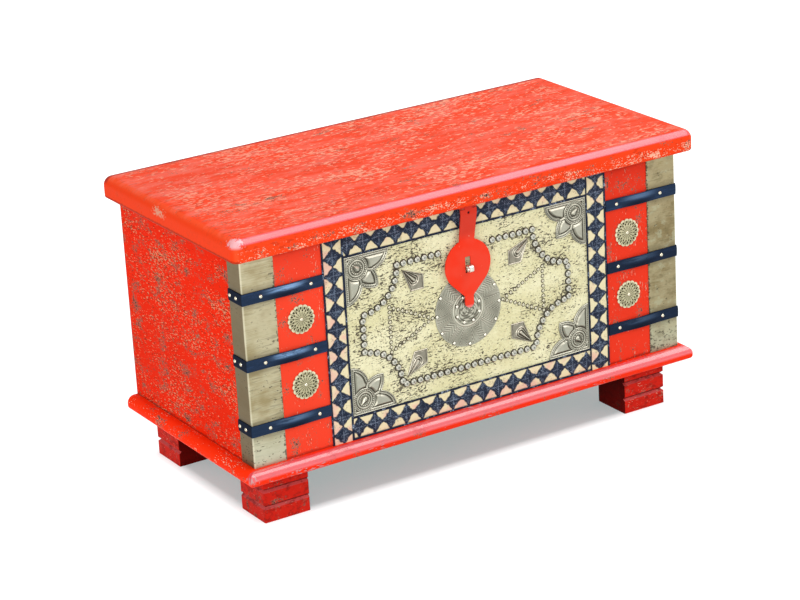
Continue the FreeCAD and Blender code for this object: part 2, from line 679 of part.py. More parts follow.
def make_corner_plate(sign, level):
    """A stamped plate in a corner of the field: a leaf along each edge, one on the diagonal, and a boss."""
    corner_x = sign * (FIELD_HALF - PLATE_EDGE_GAP)
    corner_z = FIELD_TOP - PLATE_EDGE_GAP if level == "top" else FIELD_BOTTOM + PLATE_EDGE_GAP
    rise = -1 if level == "top" else 1

    def at(along, across, depth=BOX_FRONT):
        return Vector(corner_x - sign * along, depth, corner_z + rise * across)

    leg = CORNER_PLATE_LEG
    edge_along, edge_across = [share * leg for share in CORNER_PLATE_EDGE_LEAF]
    notch_along, notch_across = [share * leg for share in CORNER_PLATE_NOTCH]
    side_along, side_across = [share * leg for share in CORNER_PLATE_DIAGONAL_LEAF]
    tip = CORNER_PLATE_DIAGONAL_TIP * leg
    edges = outline([
        at(0, 0),
        at(leg, 0),
        (at(edge_along, edge_across), at(notch_along, notch_across)),
        (at(side_along, side_across), at(tip, tip)),
        (at(side_across, side_along), at(notch_across, notch_along)),
        (at(edge_across, edge_along), at(0, leg)),
    ])
    plate = front_prism(edges, BOX_FRONT, PLATE_FACE)
    centre = at(CORNER_PLATE_BOSS_INSET, CORNER_PLATE_BOSS_INSET)
    boss = Part.makeCone(CORNER_PLATE_BOSS_RADIUS, CORNER_PLATE_BOSS_RADIUS / 2,
                         PLATE_SHEET + PLATE_BOSS_HEIGHT, centre, TO_FRONT)
    return plate.fuse(boss).removeSplitter()


def make_drop_plate(sign, level):
    """A kite-shaped plate that points to an end of a stud row, with a raised drop on it."""
    row_z = CARTOUCHE_TOP if level == "top" else CARTOUCHE_BOTTOM
    rise = -1 if level == "top" else 1
    tip_x = METALWORK_SHIFT_X + sign * (CARTOUCHE_ROW_HALF - DROP_TIP_ROW_INSET)
    tip_z = row_z + rise * DROP_TIP_ROW_GAP
    along = Vector(-sign, 0, rise).normalize()
    across = Vector(sign, 0, rise).normalize()
    tip = on_front(tip_x, tip_z)

    def at(distance, offset):
        return tip + along * distance + across * offset

    edges = outline([
        at(0, 0),
        at(DROP_PLATE_SHOULDER, DROP_PLATE_HALF_WIDTH),
        at(DROP_PLATE_LENGTH, 0),
        at(DROP_PLATE_SHOULDER, -DROP_PLATE_HALF_WIDTH),
    ])
    plate = front_prism(edges, BOX_FRONT, PLATE_FACE)
    boss = Part.makeCone(DROP_PLATE_BOSS_RADIUS, DROP_PLATE_BOSS_RADIUS / 3,
                         PLATE_SHEET + PLATE_BOSS_HEIGHT, at(DROP_PLATE_SHOULDER, 0), TO_FRONT)
    return plate.fuse(boss).removeSplitter()


def make_round_plate():
    """The stamped round plate with its embossed ring."""
    centre = on_front(METALWORK_SHIFT_X, ROUND_PLATE_Z)
    plate = Part.makeCylinder(ROUND_PLATE_RADIUS, PLATE_SHEET, centre, TO_FRONT)
    face_centre = on_front(METALWORK_SHIFT_X, ROUND_PLATE_Z, PLATE_FACE)
    ring = Part.makeTorus(ROUND_PLATE_RING_RADIUS, ROUND_PLATE_RING_WIDTH / 2, face_centre, TO_FRONT)
    front_half = Part.makeCylinder(ROUND_PLATE_RADIUS, ROUND_PLATE_RING_WIDTH, face_centre, TO_FRONT)
    return plate.fuse(ring.common(front_half)).removeSplitter()


def hinge_centres():
    """X of the middle of each lid hinge, by side."""
    return {side: sign * (BOX_HALF - HINGE_END_INSET) for side, sign in SIDES.items()}


def leaf_levels(up):
    """Bottom and top of a hinge leaf: the lid's leaf lies above the joint, the box's below it."""
    near = HINGE_Z + up * HINGE_LEAF_GAP
    return near, near + up * HINGE_LEAF_SHEET


def hinge_span(x):
    """Start and end of a hinge along X."""
    return x - HINGE_LENGTH / 2, x + HINGE_LENGTH / 2


def hinge_mortise(x, up):
    """The shallow bed of a hinge leaf."""
    far = leaf_levels(up)[1]
    return block(hinge_span(x), (HINGE_Y - HINGE_LEAF_WIDTH, HINGE_Y), (HINGE_Z, far))


def hinge_groove(x):
    """The round groove in which a hinge's knuckles turn."""
    start, end = hinge_span(x)
    place = Vector(start - MOVING_CLEARANCE, HINGE_Y, HINGE_Z)
    length = end - start + 2 * MOVING_CLEARANCE
    return Part.makeCylinder(HINGE_KNUCKLE_RADIUS + MOVING_CLEARANCE, length, place, ALONG_X)


def make_hinge_leaf(x, up):
    """A hinge leaf with its knuckles; the box's leaf has the outer knuckles."""
    start, end = hinge_span(x)
    leaf = block((start, end), (HINGE_Y - HINGE_LEAF_WIDTH, HINGE_Y), leaf_levels(up))
    pitch = HINGE_LENGTH / HINGE_KNUCKLE_COUNT
    for number in range(HINGE_KNUCKLE_COUNT):
        place = Vector(start + number * pitch, HINGE_Y, HINGE_Z)
        gap = MOVING_CLEARANCE / 2
        own = (number % 2 == 1) == (up > 0)
        if own:
            knuckle = Part.makeCylinder(HINGE_KNUCKLE_RADIUS, pitch - 2 * gap, place + ALONG_X * gap, ALONG_X)
            leaf = leaf.fuse(knuckle)
        else:
            radius = HINGE_KNUCKLE_RADIUS + MOVING_CLEARANCE
            room = Part.makeCylinder(radius, pitch + 2 * gap, place - ALONG_X * gap, ALONG_X)
            leaf = leaf.cut(room)
    bore_start = Vector(start - MOVING_CLEARANCE, HINGE_Y, HINGE_Z)
    bore_length = HINGE_LENGTH + 2 * MOVING_CLEARANCE
    bore = Part.makeCylinder(HINGE_PIN_RADIUS + RUNNING_CLEARANCE, bore_length, bore_start, ALONG_X)
    return leaf.cut(bore).cut(Part.makeCompound(hinge_screws(up))).removeSplitter()


def hinge_pins():
    """The two hinge pins."""
    return [
        Part.makeCylinder(HINGE_PIN_RADIUS, HINGE_LENGTH, Vector(hinge_span(x)[0], HINGE_Y, HINGE_Z), ALONG_X)
        for x in hinge_centres().values()
    ]


def hinge_screws(up):
    """Screws of the lid's leaves, going up, or of the box's leaves, going down."""
    screws = []
    y = HINGE_Y - HINGE_SCREW_FROM_AXIS
    z = leaf_levels(up)[0]
    for x in hinge_centres().values():
        for number in (-1, 0, 1):
            place = Vector(x + number * HINGE_SCREW_SPACING, y, z)
            screws.append(screw(place, UP if up > 0 else DOWN, HINGE_SCREW_LENGTH))
    return screws


def hasp_side_profile():
    """The bent sheet of the hasp, seen from the side, as wide as its disc."""
    top_face = HASP_AXIS_Y - HASP_KNUCKLE_RADIUS
    bend_z = HASP_AXIS_Z - HASP_BEND_DROP
    neck_z = HASP_DISC_Z + HASP_DISC_RADIUS
    low_z = HASP_DISC_Z - 2 * HASP_DISC_RADIUS
    start_x = HASP_X - 2 * HASP_DISC_RADIUS
    points = [
        Vector(start_x, top_face, HASP_AXIS_Z),
        Vector(start_x, top_face, bend_z),
        Vector(start_x, HASP_FACE, neck_z),
        Vector(start_x, HASP_FACE, low_z),
        Vector(start_x, HASP_BACK, low_z),
        Vector(start_x, HASP_BACK, neck_z),
        Vector(start_x, top_face + HASP_SHEET, bend_z),
        Vector(start_x, top_face + HASP_SHEET, HASP_AXIS_Z),
    ]
    face = Part.Face(Part.Wire(outline(points)))
    return face.extrude(ALONG_X * 4 * HASP_DISC_RADIUS)


def make_hasp():
    """The hasp: tab, disc and pointed tip cut from one bent sheet, with a rolled knuckle at the top."""

    def at(across, up):
        return on_front(HASP_X + across, HASP_DISC_Z + up)

    radius = HASP_DISC_RADIUS
    neck_half = HASP_NECK_WIDTH / 2
    neck_up = math.sqrt(radius ** 2 - neck_half ** 2)
    taper_x = radius * math.cos(HASP_TAPER)
    taper_z = -radius * math.sin(HASP_TAPER)
    tip_start = taper_z - (taper_x - HASP_TIP_HALF_WIDTH) * math.tan(HASP_TAPER)
    tip_end = tip_start - HASP_TIP_LENGTH
    tip_turn = tip_end + HASP_TIP_HALF_WIDTH
    shoulder = HASP_AXIS_Z - HASP_KNUCKLE_RADIUS - MOVING_CLEARANCE - HASP_DISC_Z
    top = HASP_AXIS_Z - HASP_DISC_Z
    tab_half = HASP_TAB_WIDTH / 2
    tongue_half = HASP_TONGUE_WIDTH / 2 - MOVING_CLEARANCE
    edges = outline([
        at(-neck_half, neck_up),
        (at(-radius, 0), at(-taper_x, taper_z)),
        at(-HASP_TIP_HALF_WIDTH, tip_start),
        at(-HASP_TIP_HALF_WIDTH, tip_turn),
        (at(0, tip_end), at(HASP_TIP_HALF_WIDTH, tip_turn)),
        at(HASP_TIP_HALF_WIDTH, tip_start),
        at(taper_x, taper_z),
        (at(radius, 0), at(neck_half, neck_up)),
        at(tab_half, shoulder),
        at(tongue_half, shoulder),
        at(tongue_half, top),
        at(-tongue_half, top),
        at(-tongue_half, shoulder),
        at(-tab_half, shoulder),
    ])
    sheet = front_prism(edges, BOX_FRONT, LID_FRONT).common(hasp_side_profile())
    slot_x = (HASP_X - HASP_SLOT_WIDTH / 2, HASP_X + HASP_SLOT_WIDTH / 2)
    slot_z = (HASP_DISC_Z - HASP_SLOT_LENGTH / 2, HASP_DISC_Z + HASP_SLOT_LENGTH / 2)
    slot = block(slot_x, (BOX_FRONT, LID_FRONT), slot_z)
    hole_place = on_front(HASP_X, HASP_AXIS_Z - HASP_HOLE_DROP)
    hole = Part.makeCylinder(HASP_HOLE_RADIUS, BOX_FRONT - LID_FRONT, hole_place, TO_FRONT)
    knuckle_start = Vector(HASP_X - tongue_half, HASP_AXIS_Y, HASP_AXIS_Z)
    knuckle = Part.makeCylinder(HASP_KNUCKLE_RADIUS, 2 * tongue_half, knuckle_start, ALONG_X)
    bore = Part.makeCylinder(HASP_PIN_RADIUS + RUNNING_CLEARANCE, 2 * tongue_half, knuckle_start, ALONG_X)
    return sheet.cut(slot).cut(hole).fuse(knuckle).cut(bore).removeSplitter()


def make_hasp_bracket():
    """A plate under the lid's front edge with two knuckles for the hasp's pin."""
    start = HASP_X - HASP_TAB_WIDTH / 2
    end = HASP_X + HASP_TAB_WIDTH / 2
    back = BORDER_FACE - BRACKET_BORDER_GAP
    bracket = block((start, end), (LID_FRONT + BRACKET_FRONT_INSET, back), (BOX_TOP - BRACKET_SHEET, BOX_TOP))
    tongue_room = HASP_KNUCKLE_RADIUS + MOVING_CLEARANCE
    room_start = Vector(HASP_X - HASP_TONGUE_WIDTH / 2, HASP_AXIS_Y, HASP_AXIS_Z)
    bracket = bracket.cut(Part.makeCylinder(tongue_room, HASP_TONGUE_WIDTH, room_start, ALONG_X))
    length = (HASP_TAB_WIDTH - HASP_TONGUE_WIDTH) / 2
    for x in (start, end - length):
        place = Vector(x, HASP_AXIS_Y, HASP_AXIS_Z)
        bracket = bracket.fuse(Part.makeCylinder(HASP_KNUCKLE_RADIUS, length, place, ALONG_X))
    bore_radius = HASP_PIN_RADIUS + RUNNING_CLEARANCE
    bore = Part.makeCylinder(bore_radius, HASP_TAB_WIDTH, Vector(start, HASP_AXIS_Y, HASP_AXIS_Z), ALONG_X)
    return bracket.cut(bore).cut(Part.makeCompound(bracket_screws())).removeSplitter()


def bracket_screws():
    """Two screws that hold the bracket under the lid."""
    y = (HASP_AXIS_Y + HASP_KNUCKLE_RADIUS + BORDER_FACE - BRACKET_BORDER_GAP) / 2
    screws = []
    for sign in SIDES.values():
        place = Vector(HASP_X + sign * BRACKET_SCREW_SPACING / 2, y, BOX_TOP - BRACKET_SHEET)
        screws.append(screw(place, UP, BRACKET_SCREW_LENGTH))
    return screws


def make_hasp_pin():
    """The pin of the hasp's hinge."""
    start = Vector(HASP_X - HASP_TAB_WIDTH / 2, HASP_AXIS_Y, HASP_AXIS_Z)
    return Part.makeCylinder(HASP_PIN_RADIUS, HASP_TAB_WIDTH, start, ALONG_X)


def make_staple_stem():
    """The two legs of the staple, side by side, from its eye into the panel."""
    half = STAPLE_WIDTH / 2
    depth = BOX_FRONT + STAPLE_DEPTH_IN_PANEL
    return block((HASP_X - half, HASP_X + half), (STAPLE_Y + STAPLE_BORE_RADIUS, depth),
                 (STAPLE_Z - STAPLE_STRIP, STAPLE_Z + STAPLE_STRIP))


def make_staple():
    """The staple: a strip bent to an eye across the front, with its legs in the panel."""
    start = Vector(HASP_X - STAPLE_WIDTH / 2, STAPLE_Y, STAPLE_Z)
    eye = Part.makeCylinder(STAPLE_RADIUS, STAPLE_WIDTH, start, ALONG_X)
    bore = Part.makeCylinder(STAPLE_BORE_RADIUS, STAPLE_WIDTH, start, ALONG_X)
    return eye.fuse(make_staple_stem()).cut(bore).removeSplitter()


def with_holes(pieces):
    """Drills the boards, strips and plates for the nails and dowels that go through them."""
    strap_holes = [
        nail_hole(place, way, NAIL_SHANK_RADIUS, NAIL_SHANK_LENGTH) for place, way in strap_nail_places()
    ]
    rosette_holes = [
        nail_hole(rosette_crown(place), TO_FRONT, NAIL_SHANK_RADIUS, NAIL_SHANK_LENGTH)
        for place in rosette_places().values()
    ]
    plate_holes = [
        nail_hole(place, TO_FRONT, NAIL_SHANK_RADIUS, NAIL_SHANK_LENGTH)
        for place in round_plate_nail_places()
    ]
    stud_holes = [nail_hole(place, TO_FRONT, STUD_SHANK_RADIUS, STUD_SHANK_LENGTH) for place in stud_places()]
    line_holes = [
        nail_hole(place, TO_FRONT, NAIL_SHANK_RADIUS, LINE_NAIL_SHANK_LENGTH) for place in bow_tie_places()
    ]
    drills = {
        "front_panel": plate_holes + stud_holes + line_holes,
        "round_plate": plate_holes,
        "back_board": corner_dowels(),
    }
    for side in SIDES:
        drills[f"{side}_side_board"] = strap_holes + corner_dowels()
        drills[f"front_{side}_board"] = strap_holes + rosette_holes + corner_dowels()
        drills[f"brass_corner_{side}"] = strap_holes
        drills[f"base_{side}_rail"] = foot_dowels()
        for level in STRAP_LEVELS:
            drills[f"strap_{side}_{level}"] = strap_holes
        for level in ROSETTE_LEVELS:
            drills[f"rosette_{side}_{level}"] = rosette_holes
        for end in ("front", "back"):
            drills[f"foot_{end}_{side}"] = foot_dowels()
    for name, tools in drills.items():
        near = [tool for tool in tools if tool.BoundBox.intersect(pieces[name].BoundBox)]
        if near:
            pieces[name] = pieces[name].cut(Part.makeCompound(near))
    return pieces


def make_pieces():
    """Every piece of the chest, by the name that its file gets."""
    pieces = {
        "lid_board": make_lid(),
        "back_board": make_back_board(),
        "bottom_board": make_bottom_board(),
        "front_panel": make_front_panel(),
        "base_front_rail": make_base_front_rail(),
        "base_back_rail": make_base_back_rail(),
        "carved_top_rail": make_border_rail((FIELD_TOP, BORDER_TOP)),
        "carved_bottom_rail": make_border_rail((BASE_TOP, FIELD_BOTTOM)),
        "round_plate": make_round_plate(),
        "staple": make_staple(),
        "hasp": make_hasp(),
        "hasp_bracket": make_hasp_bracket(),
        "hasp_pin": make_hasp_pin(),
    }
    for side, sign in SIDES.items():
        pieces[f"{side}_side_board"] = make_side_board(sign)
        pieces[f"front_{side}_board"] = make_front_board(sign)
        pieces[f"base_{side}_rail"] = make_base_side_rail(sign)
        pieces[f"carved_{side}_stile"] = make_border_stile(sign)
        pieces[f"brass_corner_{side}"] = make_brass_corner(sign)
        pieces[f"hinge_{side}_lid_leaf"] = make_hinge_leaf(hinge_centres()[side], 1)
        pieces[f"hinge_{side}_box_leaf"] = make_hinge_leaf(hinge_centres()[side], -1)
        for end in ("front", "back"):
            pieces[f"foot_{end}_{side}"] = make_foot(sign, end == "front")
        for level, z in STRAP_LEVELS.items():
            pieces[f"strap_{side}_{level}"] = make_strap(sign, z)
        for level in ("top", "bottom"):
            pieces[f"corner_plate_{level}_{side}"] = make_corner_plate(sign, level)
            pieces[f"drop_plate_{level}_{side}"] = make_drop_plate(sign, level)
    for name, place in rosette_places().items():
        pieces[f"rosette_{name}"] = make_rosette(place)
    return with_holes(pieces)


def make_fasteners():
    """Groups of like fasteners, each a list of separate solids, by name."""
    return {
        "corner_dowels": corner_dowels(),
        "foot_dowels": foot_dowels(),
        "strap_nails": [strap_nail(place, way) for place, way in strap_nail_places()],
        "rosette_nails": [strap_nail(rosette_crown(place), TO_FRONT) for place in rosette_places().values()],
        "round_plate_nails": [strap_nail(place, TO_FRONT) for place in round_plate_nail_places()],
        "bow_tie_nails": [line_nail(place) for place in bow_tie_places()],
        "cartouche_studs": [stud(place) for place in stud_places()],
        "hinge_pins": hinge_pins(),
        "hinge_lid_screws": hinge_screws(1),
        "hinge_box_screws": hinge_screws(-1),
        "hasp_bracket_screws": bracket_screws(),
    }


os.makedirs("parts", exist_ok=True)
nodes = make_pieces()
nodes.update({name: Part.makeCompound(solids) for name, solids in make_fasteners().items()})
for name, shape in nodes.items():
    shape.exportStep(f"parts/{name}.step")
    print(name, len(shape.Solids), "solids", round(shape.Volume / 1000, 2), "cm3", shape.isValid())
print(len(nodes), "nodes")
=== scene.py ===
# %% [markdown]
# # A painted storage chest
# The chest is a boarded box on a moulded base and four block feet, with a hinged lid. Its red paint is worn
# through in flecks, and its front carries a carved border, stamped plates, studs, straps and a hasp. The
# packed CAD model comes first. It stays where it is, and every new piece is set against it.

# %% Load the frame
import bpy
import math
import numpy as np
from mathutils import Matrix, Vector


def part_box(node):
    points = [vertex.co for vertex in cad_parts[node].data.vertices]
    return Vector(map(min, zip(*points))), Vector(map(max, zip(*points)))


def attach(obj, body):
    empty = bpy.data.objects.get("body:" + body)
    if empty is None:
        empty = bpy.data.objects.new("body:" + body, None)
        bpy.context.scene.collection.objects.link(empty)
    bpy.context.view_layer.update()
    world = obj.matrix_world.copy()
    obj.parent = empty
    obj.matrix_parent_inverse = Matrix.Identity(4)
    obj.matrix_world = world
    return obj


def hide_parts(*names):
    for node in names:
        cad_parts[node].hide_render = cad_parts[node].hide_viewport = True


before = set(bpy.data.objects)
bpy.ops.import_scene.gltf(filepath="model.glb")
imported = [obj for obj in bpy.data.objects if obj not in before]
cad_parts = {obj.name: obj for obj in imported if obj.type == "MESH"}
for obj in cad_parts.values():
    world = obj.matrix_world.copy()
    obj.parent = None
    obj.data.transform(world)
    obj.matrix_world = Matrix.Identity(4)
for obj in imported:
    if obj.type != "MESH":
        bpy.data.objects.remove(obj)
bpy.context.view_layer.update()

# %% [markdown]
# ## Camera
# A photograph is matched by its viewing angle, its distance and its lens. These were worked out from the
# chest's own straight edges, so the camera stands where the photographer stood, with the same small tilt.

# %% Camera
CAMERA_PLACE = (-2.0942, -3.4511, 1.6943)
CAMERA_AZIMUTH, CAMERA_ELEVATION, CAMERA_ROLL = [math.radians(turn) for turn in (-31.085, 20.152, -3.267)]
CAMERA_LENS = 126.30
SENSOR_WIDTH = 36.0


def add_object(name, data):
    """A new object in the scene."""
    thing = bpy.data.objects.new(name, data)
    bpy.context.scene.collection.objects.link(thing)
    return thing


def placed(place, right, up, back):
    """A matrix that stands at place, with its three axes along right, up and back."""
    return Matrix.Translation(place) @ Matrix((right, up, back)).transposed().to_4x4()


def camera_matrix(place, azimuth, elevation, roll):
    """Columns are the picture's right and up, turned by the roll, and the way back from the object."""
    back = Vector((math.sin(azimuth) * math.cos(elevation),
                   -math.cos(azimuth) * math.cos(elevation),
                   math.sin(elevation)))
    level = Vector((math.cos(azimuth), math.sin(azimuth), 0.0))
    upright = back.cross(level)
    right = math.cos(roll) * level + math.sin(roll) * upright
    up = -math.sin(roll) * level + math.cos(roll) * upright
    return placed(place, right, up, back)


camera_data = bpy.data.cameras.new("camera")
camera_data.lens = CAMERA_LENS
camera_data.sensor_width = SENSOR_WIDTH
camera_data.sensor_fit = "HORIZONTAL"
camera = add_object("camera", camera_data)
camera.matrix_world = camera_matrix(CAMERA_PLACE, CAMERA_AZIMUTH, CAMERA_ELEVATION, CAMERA_ROLL)
bpy.context.scene.camera = camera
bpy.context.scene.view_settings.view_transform = "Standard"
print("camera lens:", CAMERA_LENS, "mm")

# %% [markdown]
# ## Shader arithmetic
# A worn finish is a sum of masks: where the paint is thin, where it has chipped, where dirt has gathered.
# Wiring Math nodes by hand hides that sum. Here a small class stands for a socket, so that masks can be added
# and multiplied as in any Python formula.

# %% Wires
def math_node(operation, turned=False):
    """A method that adds one Math node; turned puts the wire second."""
    def method(self, other=0.0):
        first, second = (other, self) if turned else (self, other)
        return self.finish.node("ShaderNodeMath", {"operation": operation}, {0: first, 1: second})
    return method


class Wire:
    """An output socket. Arithmetic on wires adds Math nodes to the material that they belong to.

    over and under give the larger and the smaller of two values, root the square root.
    """
    __add__ = __radd__ = math_node("ADD")
    __sub__, __rsub__ = math_node("SUBTRACT"), math_node("SUBTRACT", turned=True)
    __mul__ = __rmul__ = math_node("MULTIPLY")
    __truediv__ = math_node("DIVIDE")
    __abs__, __round__, root = math_node("ABSOLUTE"), math_node("ROUND"), math_node("SQRT")
    over, under = math_node("MAXIMUM"), math_node("MINIMUM")

    def __init__(self, finish, socket):
        self.finish = finish
        self.socket = socket

    def rise(self, low, high):
        """0 below low, 1 above high, and a smooth step between. With low above high it falls."""
        settings = {"interpolation_type": "SMOOTHSTEP"}
        if low < high:
            return self.finish.node("ShaderNodeMapRange", settings, {0: self, 1: low, 2: high})
        return 1.0 - self.finish.node("ShaderNodeMapRange", settings, {0: self, 1: high, 2: low})


print("wires can be added, multiplied, compared and stepped")

# %% [markdown]
# ## Finishes
# A finish is a material with one Principled shader. One method adds every kind of node, and the others name
# what a worn surface needs: noise, the place on the piece, the way that it looks, and coats of colour over
# each other.

# %% Finishes
class Finish:
    """A material with one Principled shader; its nodes are added one call at a time."""

    def __init__(self, name):
        self.material = bpy.data.materials.new(name)
        self.material.use_nodes = True
        self.tree = self.material.node_tree
        self.shader = self.tree.nodes["Principled BSDF"]
        self.place = self.node("ShaderNodeTexCoord", {}, {}, out="Object")

    def node(self, kind, settings, sockets, out=0):
        """Adds a node: its settings first, then values or wires for its sockets, by number or name."""
        node = self.tree.nodes.new(kind)
        for key, value in settings.items():
            setattr(node, key, value)
        self.plug(node, sockets)
        return Wire(self, node.outputs[out])

    def plug(self, node, sockets):
        """Gives the sockets of a node their wires or values."""
        for key, value in sockets.items():
            if isinstance(value, Wire):
                self.tree.links.new(value.socket, node.inputs[key])
            else:
                node.inputs[key].default_value = value

    def noise(self, scale, detail=2.0, roughness=0.5, distortion=0.0, shift=(0.0, 0.0, 0.0)):
        """Noise with about scale lumps in a metre, one number or one for each axis; shift is in metres."""
        scale = scale if isinstance(scale, tuple) else (scale,) * 3
        moved = self.node("ShaderNodeVectorMath", {"operation": "ADD"}, {0: self.place, 1: shift})
        stretched = self.node("ShaderNodeVectorMath", {"operation": "MULTIPLY"}, {0: moved, 1: scale})
        sockets = {"Vector": stretched, "Scale": 1.0, "Detail": detail, "Roughness": roughness,
                   "Distortion": distortion}
        return self.node("ShaderNodeTexNoise", {}, sockets)

    def split(self, vector):
        """The three parts of a vector as separate wires."""
        outputs = self.node("ShaderNodeSeparateXYZ", {}, {0: vector}).socket.node.outputs
        return [Wire(self, outputs[index]) for index in range(3)]

    def axes(self):
        """The place on the piece as three separate wires."""
        return self.split(self.place)

    def facing(self):
        """The way that the surface looks, as three separate wires."""
        return self.split(self.node("ShaderNodeTexCoord", {}, {}, out="Normal"))

    def attribute(self, name):
        """A number that the mesh carries at each of its points."""
        return self.node("ShaderNodeAttribute", {"attribute_name": name}, {}, out="Fac")

    def mix(self, share, first, second):
        """A colour between two colours: the first where share is 0, the second where it is 1."""
        first = (*first, 1.0) if isinstance(first, tuple) else first
        second = (*second, 1.0) if isinstance(second, tuple) else second
        return self.node("ShaderNodeMix", {"data_type": "RGBA"}, {0: share, 6: first, 7: second}, out=2)

    def coats(self, colour, *coats):
        """Lays coats over a colour, one after the other; a coat is its mask and its own colour."""
        for mask, coat in coats:
            colour = self.mix(mask, colour, coat)
        return colour

    def bump(self, height, depth):
        """A normal from a height between 0 and 1; depth is in metres."""
        return self.node("ShaderNodeBump", {}, {"Strength": 1.0, "Distance": depth, "Height": height})

    def set(self, **sockets):
        """Gives the Principled shader its values; base_color stands for the socket Base Color."""
        special = {"specular_ior_level": "Specular IOR Level", "coat_ior": "Coat IOR"}
        names = {key: special.get(key, key.replace("_", " ").title()) for key in sockets}
        self.plug(self.shader, {names[key]: value for key, value in sockets.items()})
        return self.material


print("finishes have", sum(callable(part) for part in vars(Finish).values()), "methods")

# %% [markdown]
# ## Stage
# The photograph has a white ground with only the chest's own soft shadow. A floor that is lit to white would
# need more light than the chest can stand, so the floor adds a glow where the camera or a shiny surface looks
# at it: a weak one near the chest, where the floor has to show the shadow, and a stronger one further out.

# %% Floor and world
FLOOR_HALF = 12.0
FLOOR_SHADE = 0.62
SHADOW_GLOW = (0.285, 0.362, 0.367)
OPEN_GLOW = (0.62, 0.62, 0.62)
SHADOW_REACH = (0.75, 1.6)
WORLD_LIGHT = 0.58
WHITE, BLACK = (1.0, 1.0, 1.0), (0.0, 0.0, 0.0)


class Surround(Finish):
    """The world's node tree, with the same way of adding nodes."""

    def __init__(self, world):
        world.use_nodes = True
        self.tree = world.node_tree
        self.shader = self.tree.nodes["Background"]


def seen_directly(finish):
    """1 on rays from the camera, off a shiny surface or through glass, 0 on those of soft light."""
    path = finish.node("ShaderNodeLightPath", {}, {}, out="Is Camera Ray")
    outputs = path.socket.node.outputs
    glossy = Wire(finish, outputs["Is Glossy Ray"])
    through = Wire(finish, outputs["Is Transmission Ray"])
    return path.over(glossy).over(through)


floor_finish = Finish("studio_floor")
floor_x, floor_y, _ = floor_finish.axes()
open_floor = (floor_x * floor_x + floor_y * floor_y).rise(*[reach ** 2 for reach in SHADOW_REACH])
glow_level = floor_finish.mix(open_floor, SHADOW_GLOW, OPEN_GLOW)
floor_glow = floor_finish.mix(seen_directly(floor_finish), BLACK, glow_level)
floor_finish.set(base_color=(FLOOR_SHADE, FLOOR_SHADE, FLOOR_SHADE, 1.0), roughness=1.0,
                 specular_ior_level=0.0, emission_color=floor_glow, emission_strength=1.0)
floor_mesh = bpy.data.meshes.new("studio_floor")
floor_corners = [(x * FLOOR_HALF, y * FLOOR_HALF, 0) for x, y in ((-1, -1), (1, -1), (1, 1), (-1, 1))]
floor_mesh.from_pydata(floor_corners, [], [(0, 1, 2, 3)])
floor_mesh.materials.append(floor_finish.material)
floor = add_object("studio_floor", floor_mesh)

world = bpy.data.worlds.new("studio")
bpy.context.scene.world = world
surround = Surround(world)
direct = seen_directly(surround)
surround.plug(surround.shader, {"Color": (*WHITE, 1.0), "Strength": direct + (1.0 - direct) * WORLD_LIGHT})
print("floor", FLOOR_HALF * 2, "m square, world light", WORLD_LIGHT)

# %% [markdown]
# ## Lamps
# The rounded edges of the lid and the base show one long pale line, so the main light is a long soft box
# overhead and to the right. A broad light from the front left opens up the faces. The shadow in the
# photograph lies straight under the box, so a third lamp high above lights the floor alone, with only the
# chest's bottom board in its way, and the other two leave the floor out.

# %% Lamps
SKY_BOX = ("sky_box", (1.5, -1.0, 2.9), (0.0, 0.0, 0.3), 3.4, 2.8, 70.0)
FRONT_BOX = ("front_box", (-2.9, -2.8, 1.5), (0.0, 0.0, 0.2), 2.2, 2.2, 67.0)
FLOOR_BOX = ("floor_box", (0.0, 0.0, 12.0), (0.0, 0.0, 0.0), 3.0, 3.0, 1400.0)


def soft_box(name, place, target, width, length, watts):
    """A rectangular lamp at place that faces target; its length lies along X as nearly as that allows."""
    data = bpy.data.lights.new(name, "AREA")
    data.shape = "RECTANGLE"
    data.size = length
    data.size_y = width
    data.energy = watts
    lamp = add_object(name, data)
    away = (Vector(place) - Vector(target)).normalized()
    level = (Vector((1.0, 0.0, 0.0)) - away * away.x).normalized()
    lamp.matrix_world = placed(place, level, away.cross(level), away)
    return lamp


def lights_floor(lamp, state):
    """Lets a lamp light only the floor (INCLUDE) or everything but the floor (EXCLUDE)."""
    receivers = bpy.data.collections.new(lamp.name + "_receivers")
    receivers.objects.link(floor)
    receivers.collection_objects[0].light_linking.link_state = state
    lamp.light_linking.receiver_collection = receivers


lights_floor(soft_box(*SKY_BOX), "EXCLUDE")
lights_floor(soft_box(*FRONT_BOX), "EXCLUDE")
floor_box = soft_box(*FLOOR_BOX)
lights_floor(floor_box, "INCLUDE")
blockers = bpy.data.collections.new("floor_box_blockers")
blockers.objects.link(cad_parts["bottom_board"])
floor_box.light_linking.blocker_collection = blockers
print("three soft boxes")

# %% [markdown]
# ## Bare wood
# The inside can't be seen in the photograph and is taken to be bare wood. A board is one piece with one
# material, so the material itself finds out which faces look into the chest, and shows brown streaks of bare
# wood there.

# %% Bare wood
BARE_WOOD, BARE_WOOD_DARK = (0.42, 0.26, 0.13), (0.25, 0.14, 0.065)
INNER_LOW, INNER_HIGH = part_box("bottom_board")
SKIN = 0.0003


def along_grain(grain, per_metre, stretch):
    """Noise scales for lumps that are stretch times longer along the grain than across it."""
    return tuple(per_metre / stretch if axis == grain else per_metre for axis in "xyz")


def inside_box(finish):
    """1 on the faces that look into the chest."""
    x, y, _ = finish.axes()
    sides = (INNER_HIGH.x + SKIN - abs(x)).rise(0.0, SKIN)
    front = (y - (INNER_LOW.y - SKIN)).rise(0.0, SKIN)
    back = (INNER_HIGH.y + SKIN - y).rise(0.0, SKIN)
    return sides * front * back


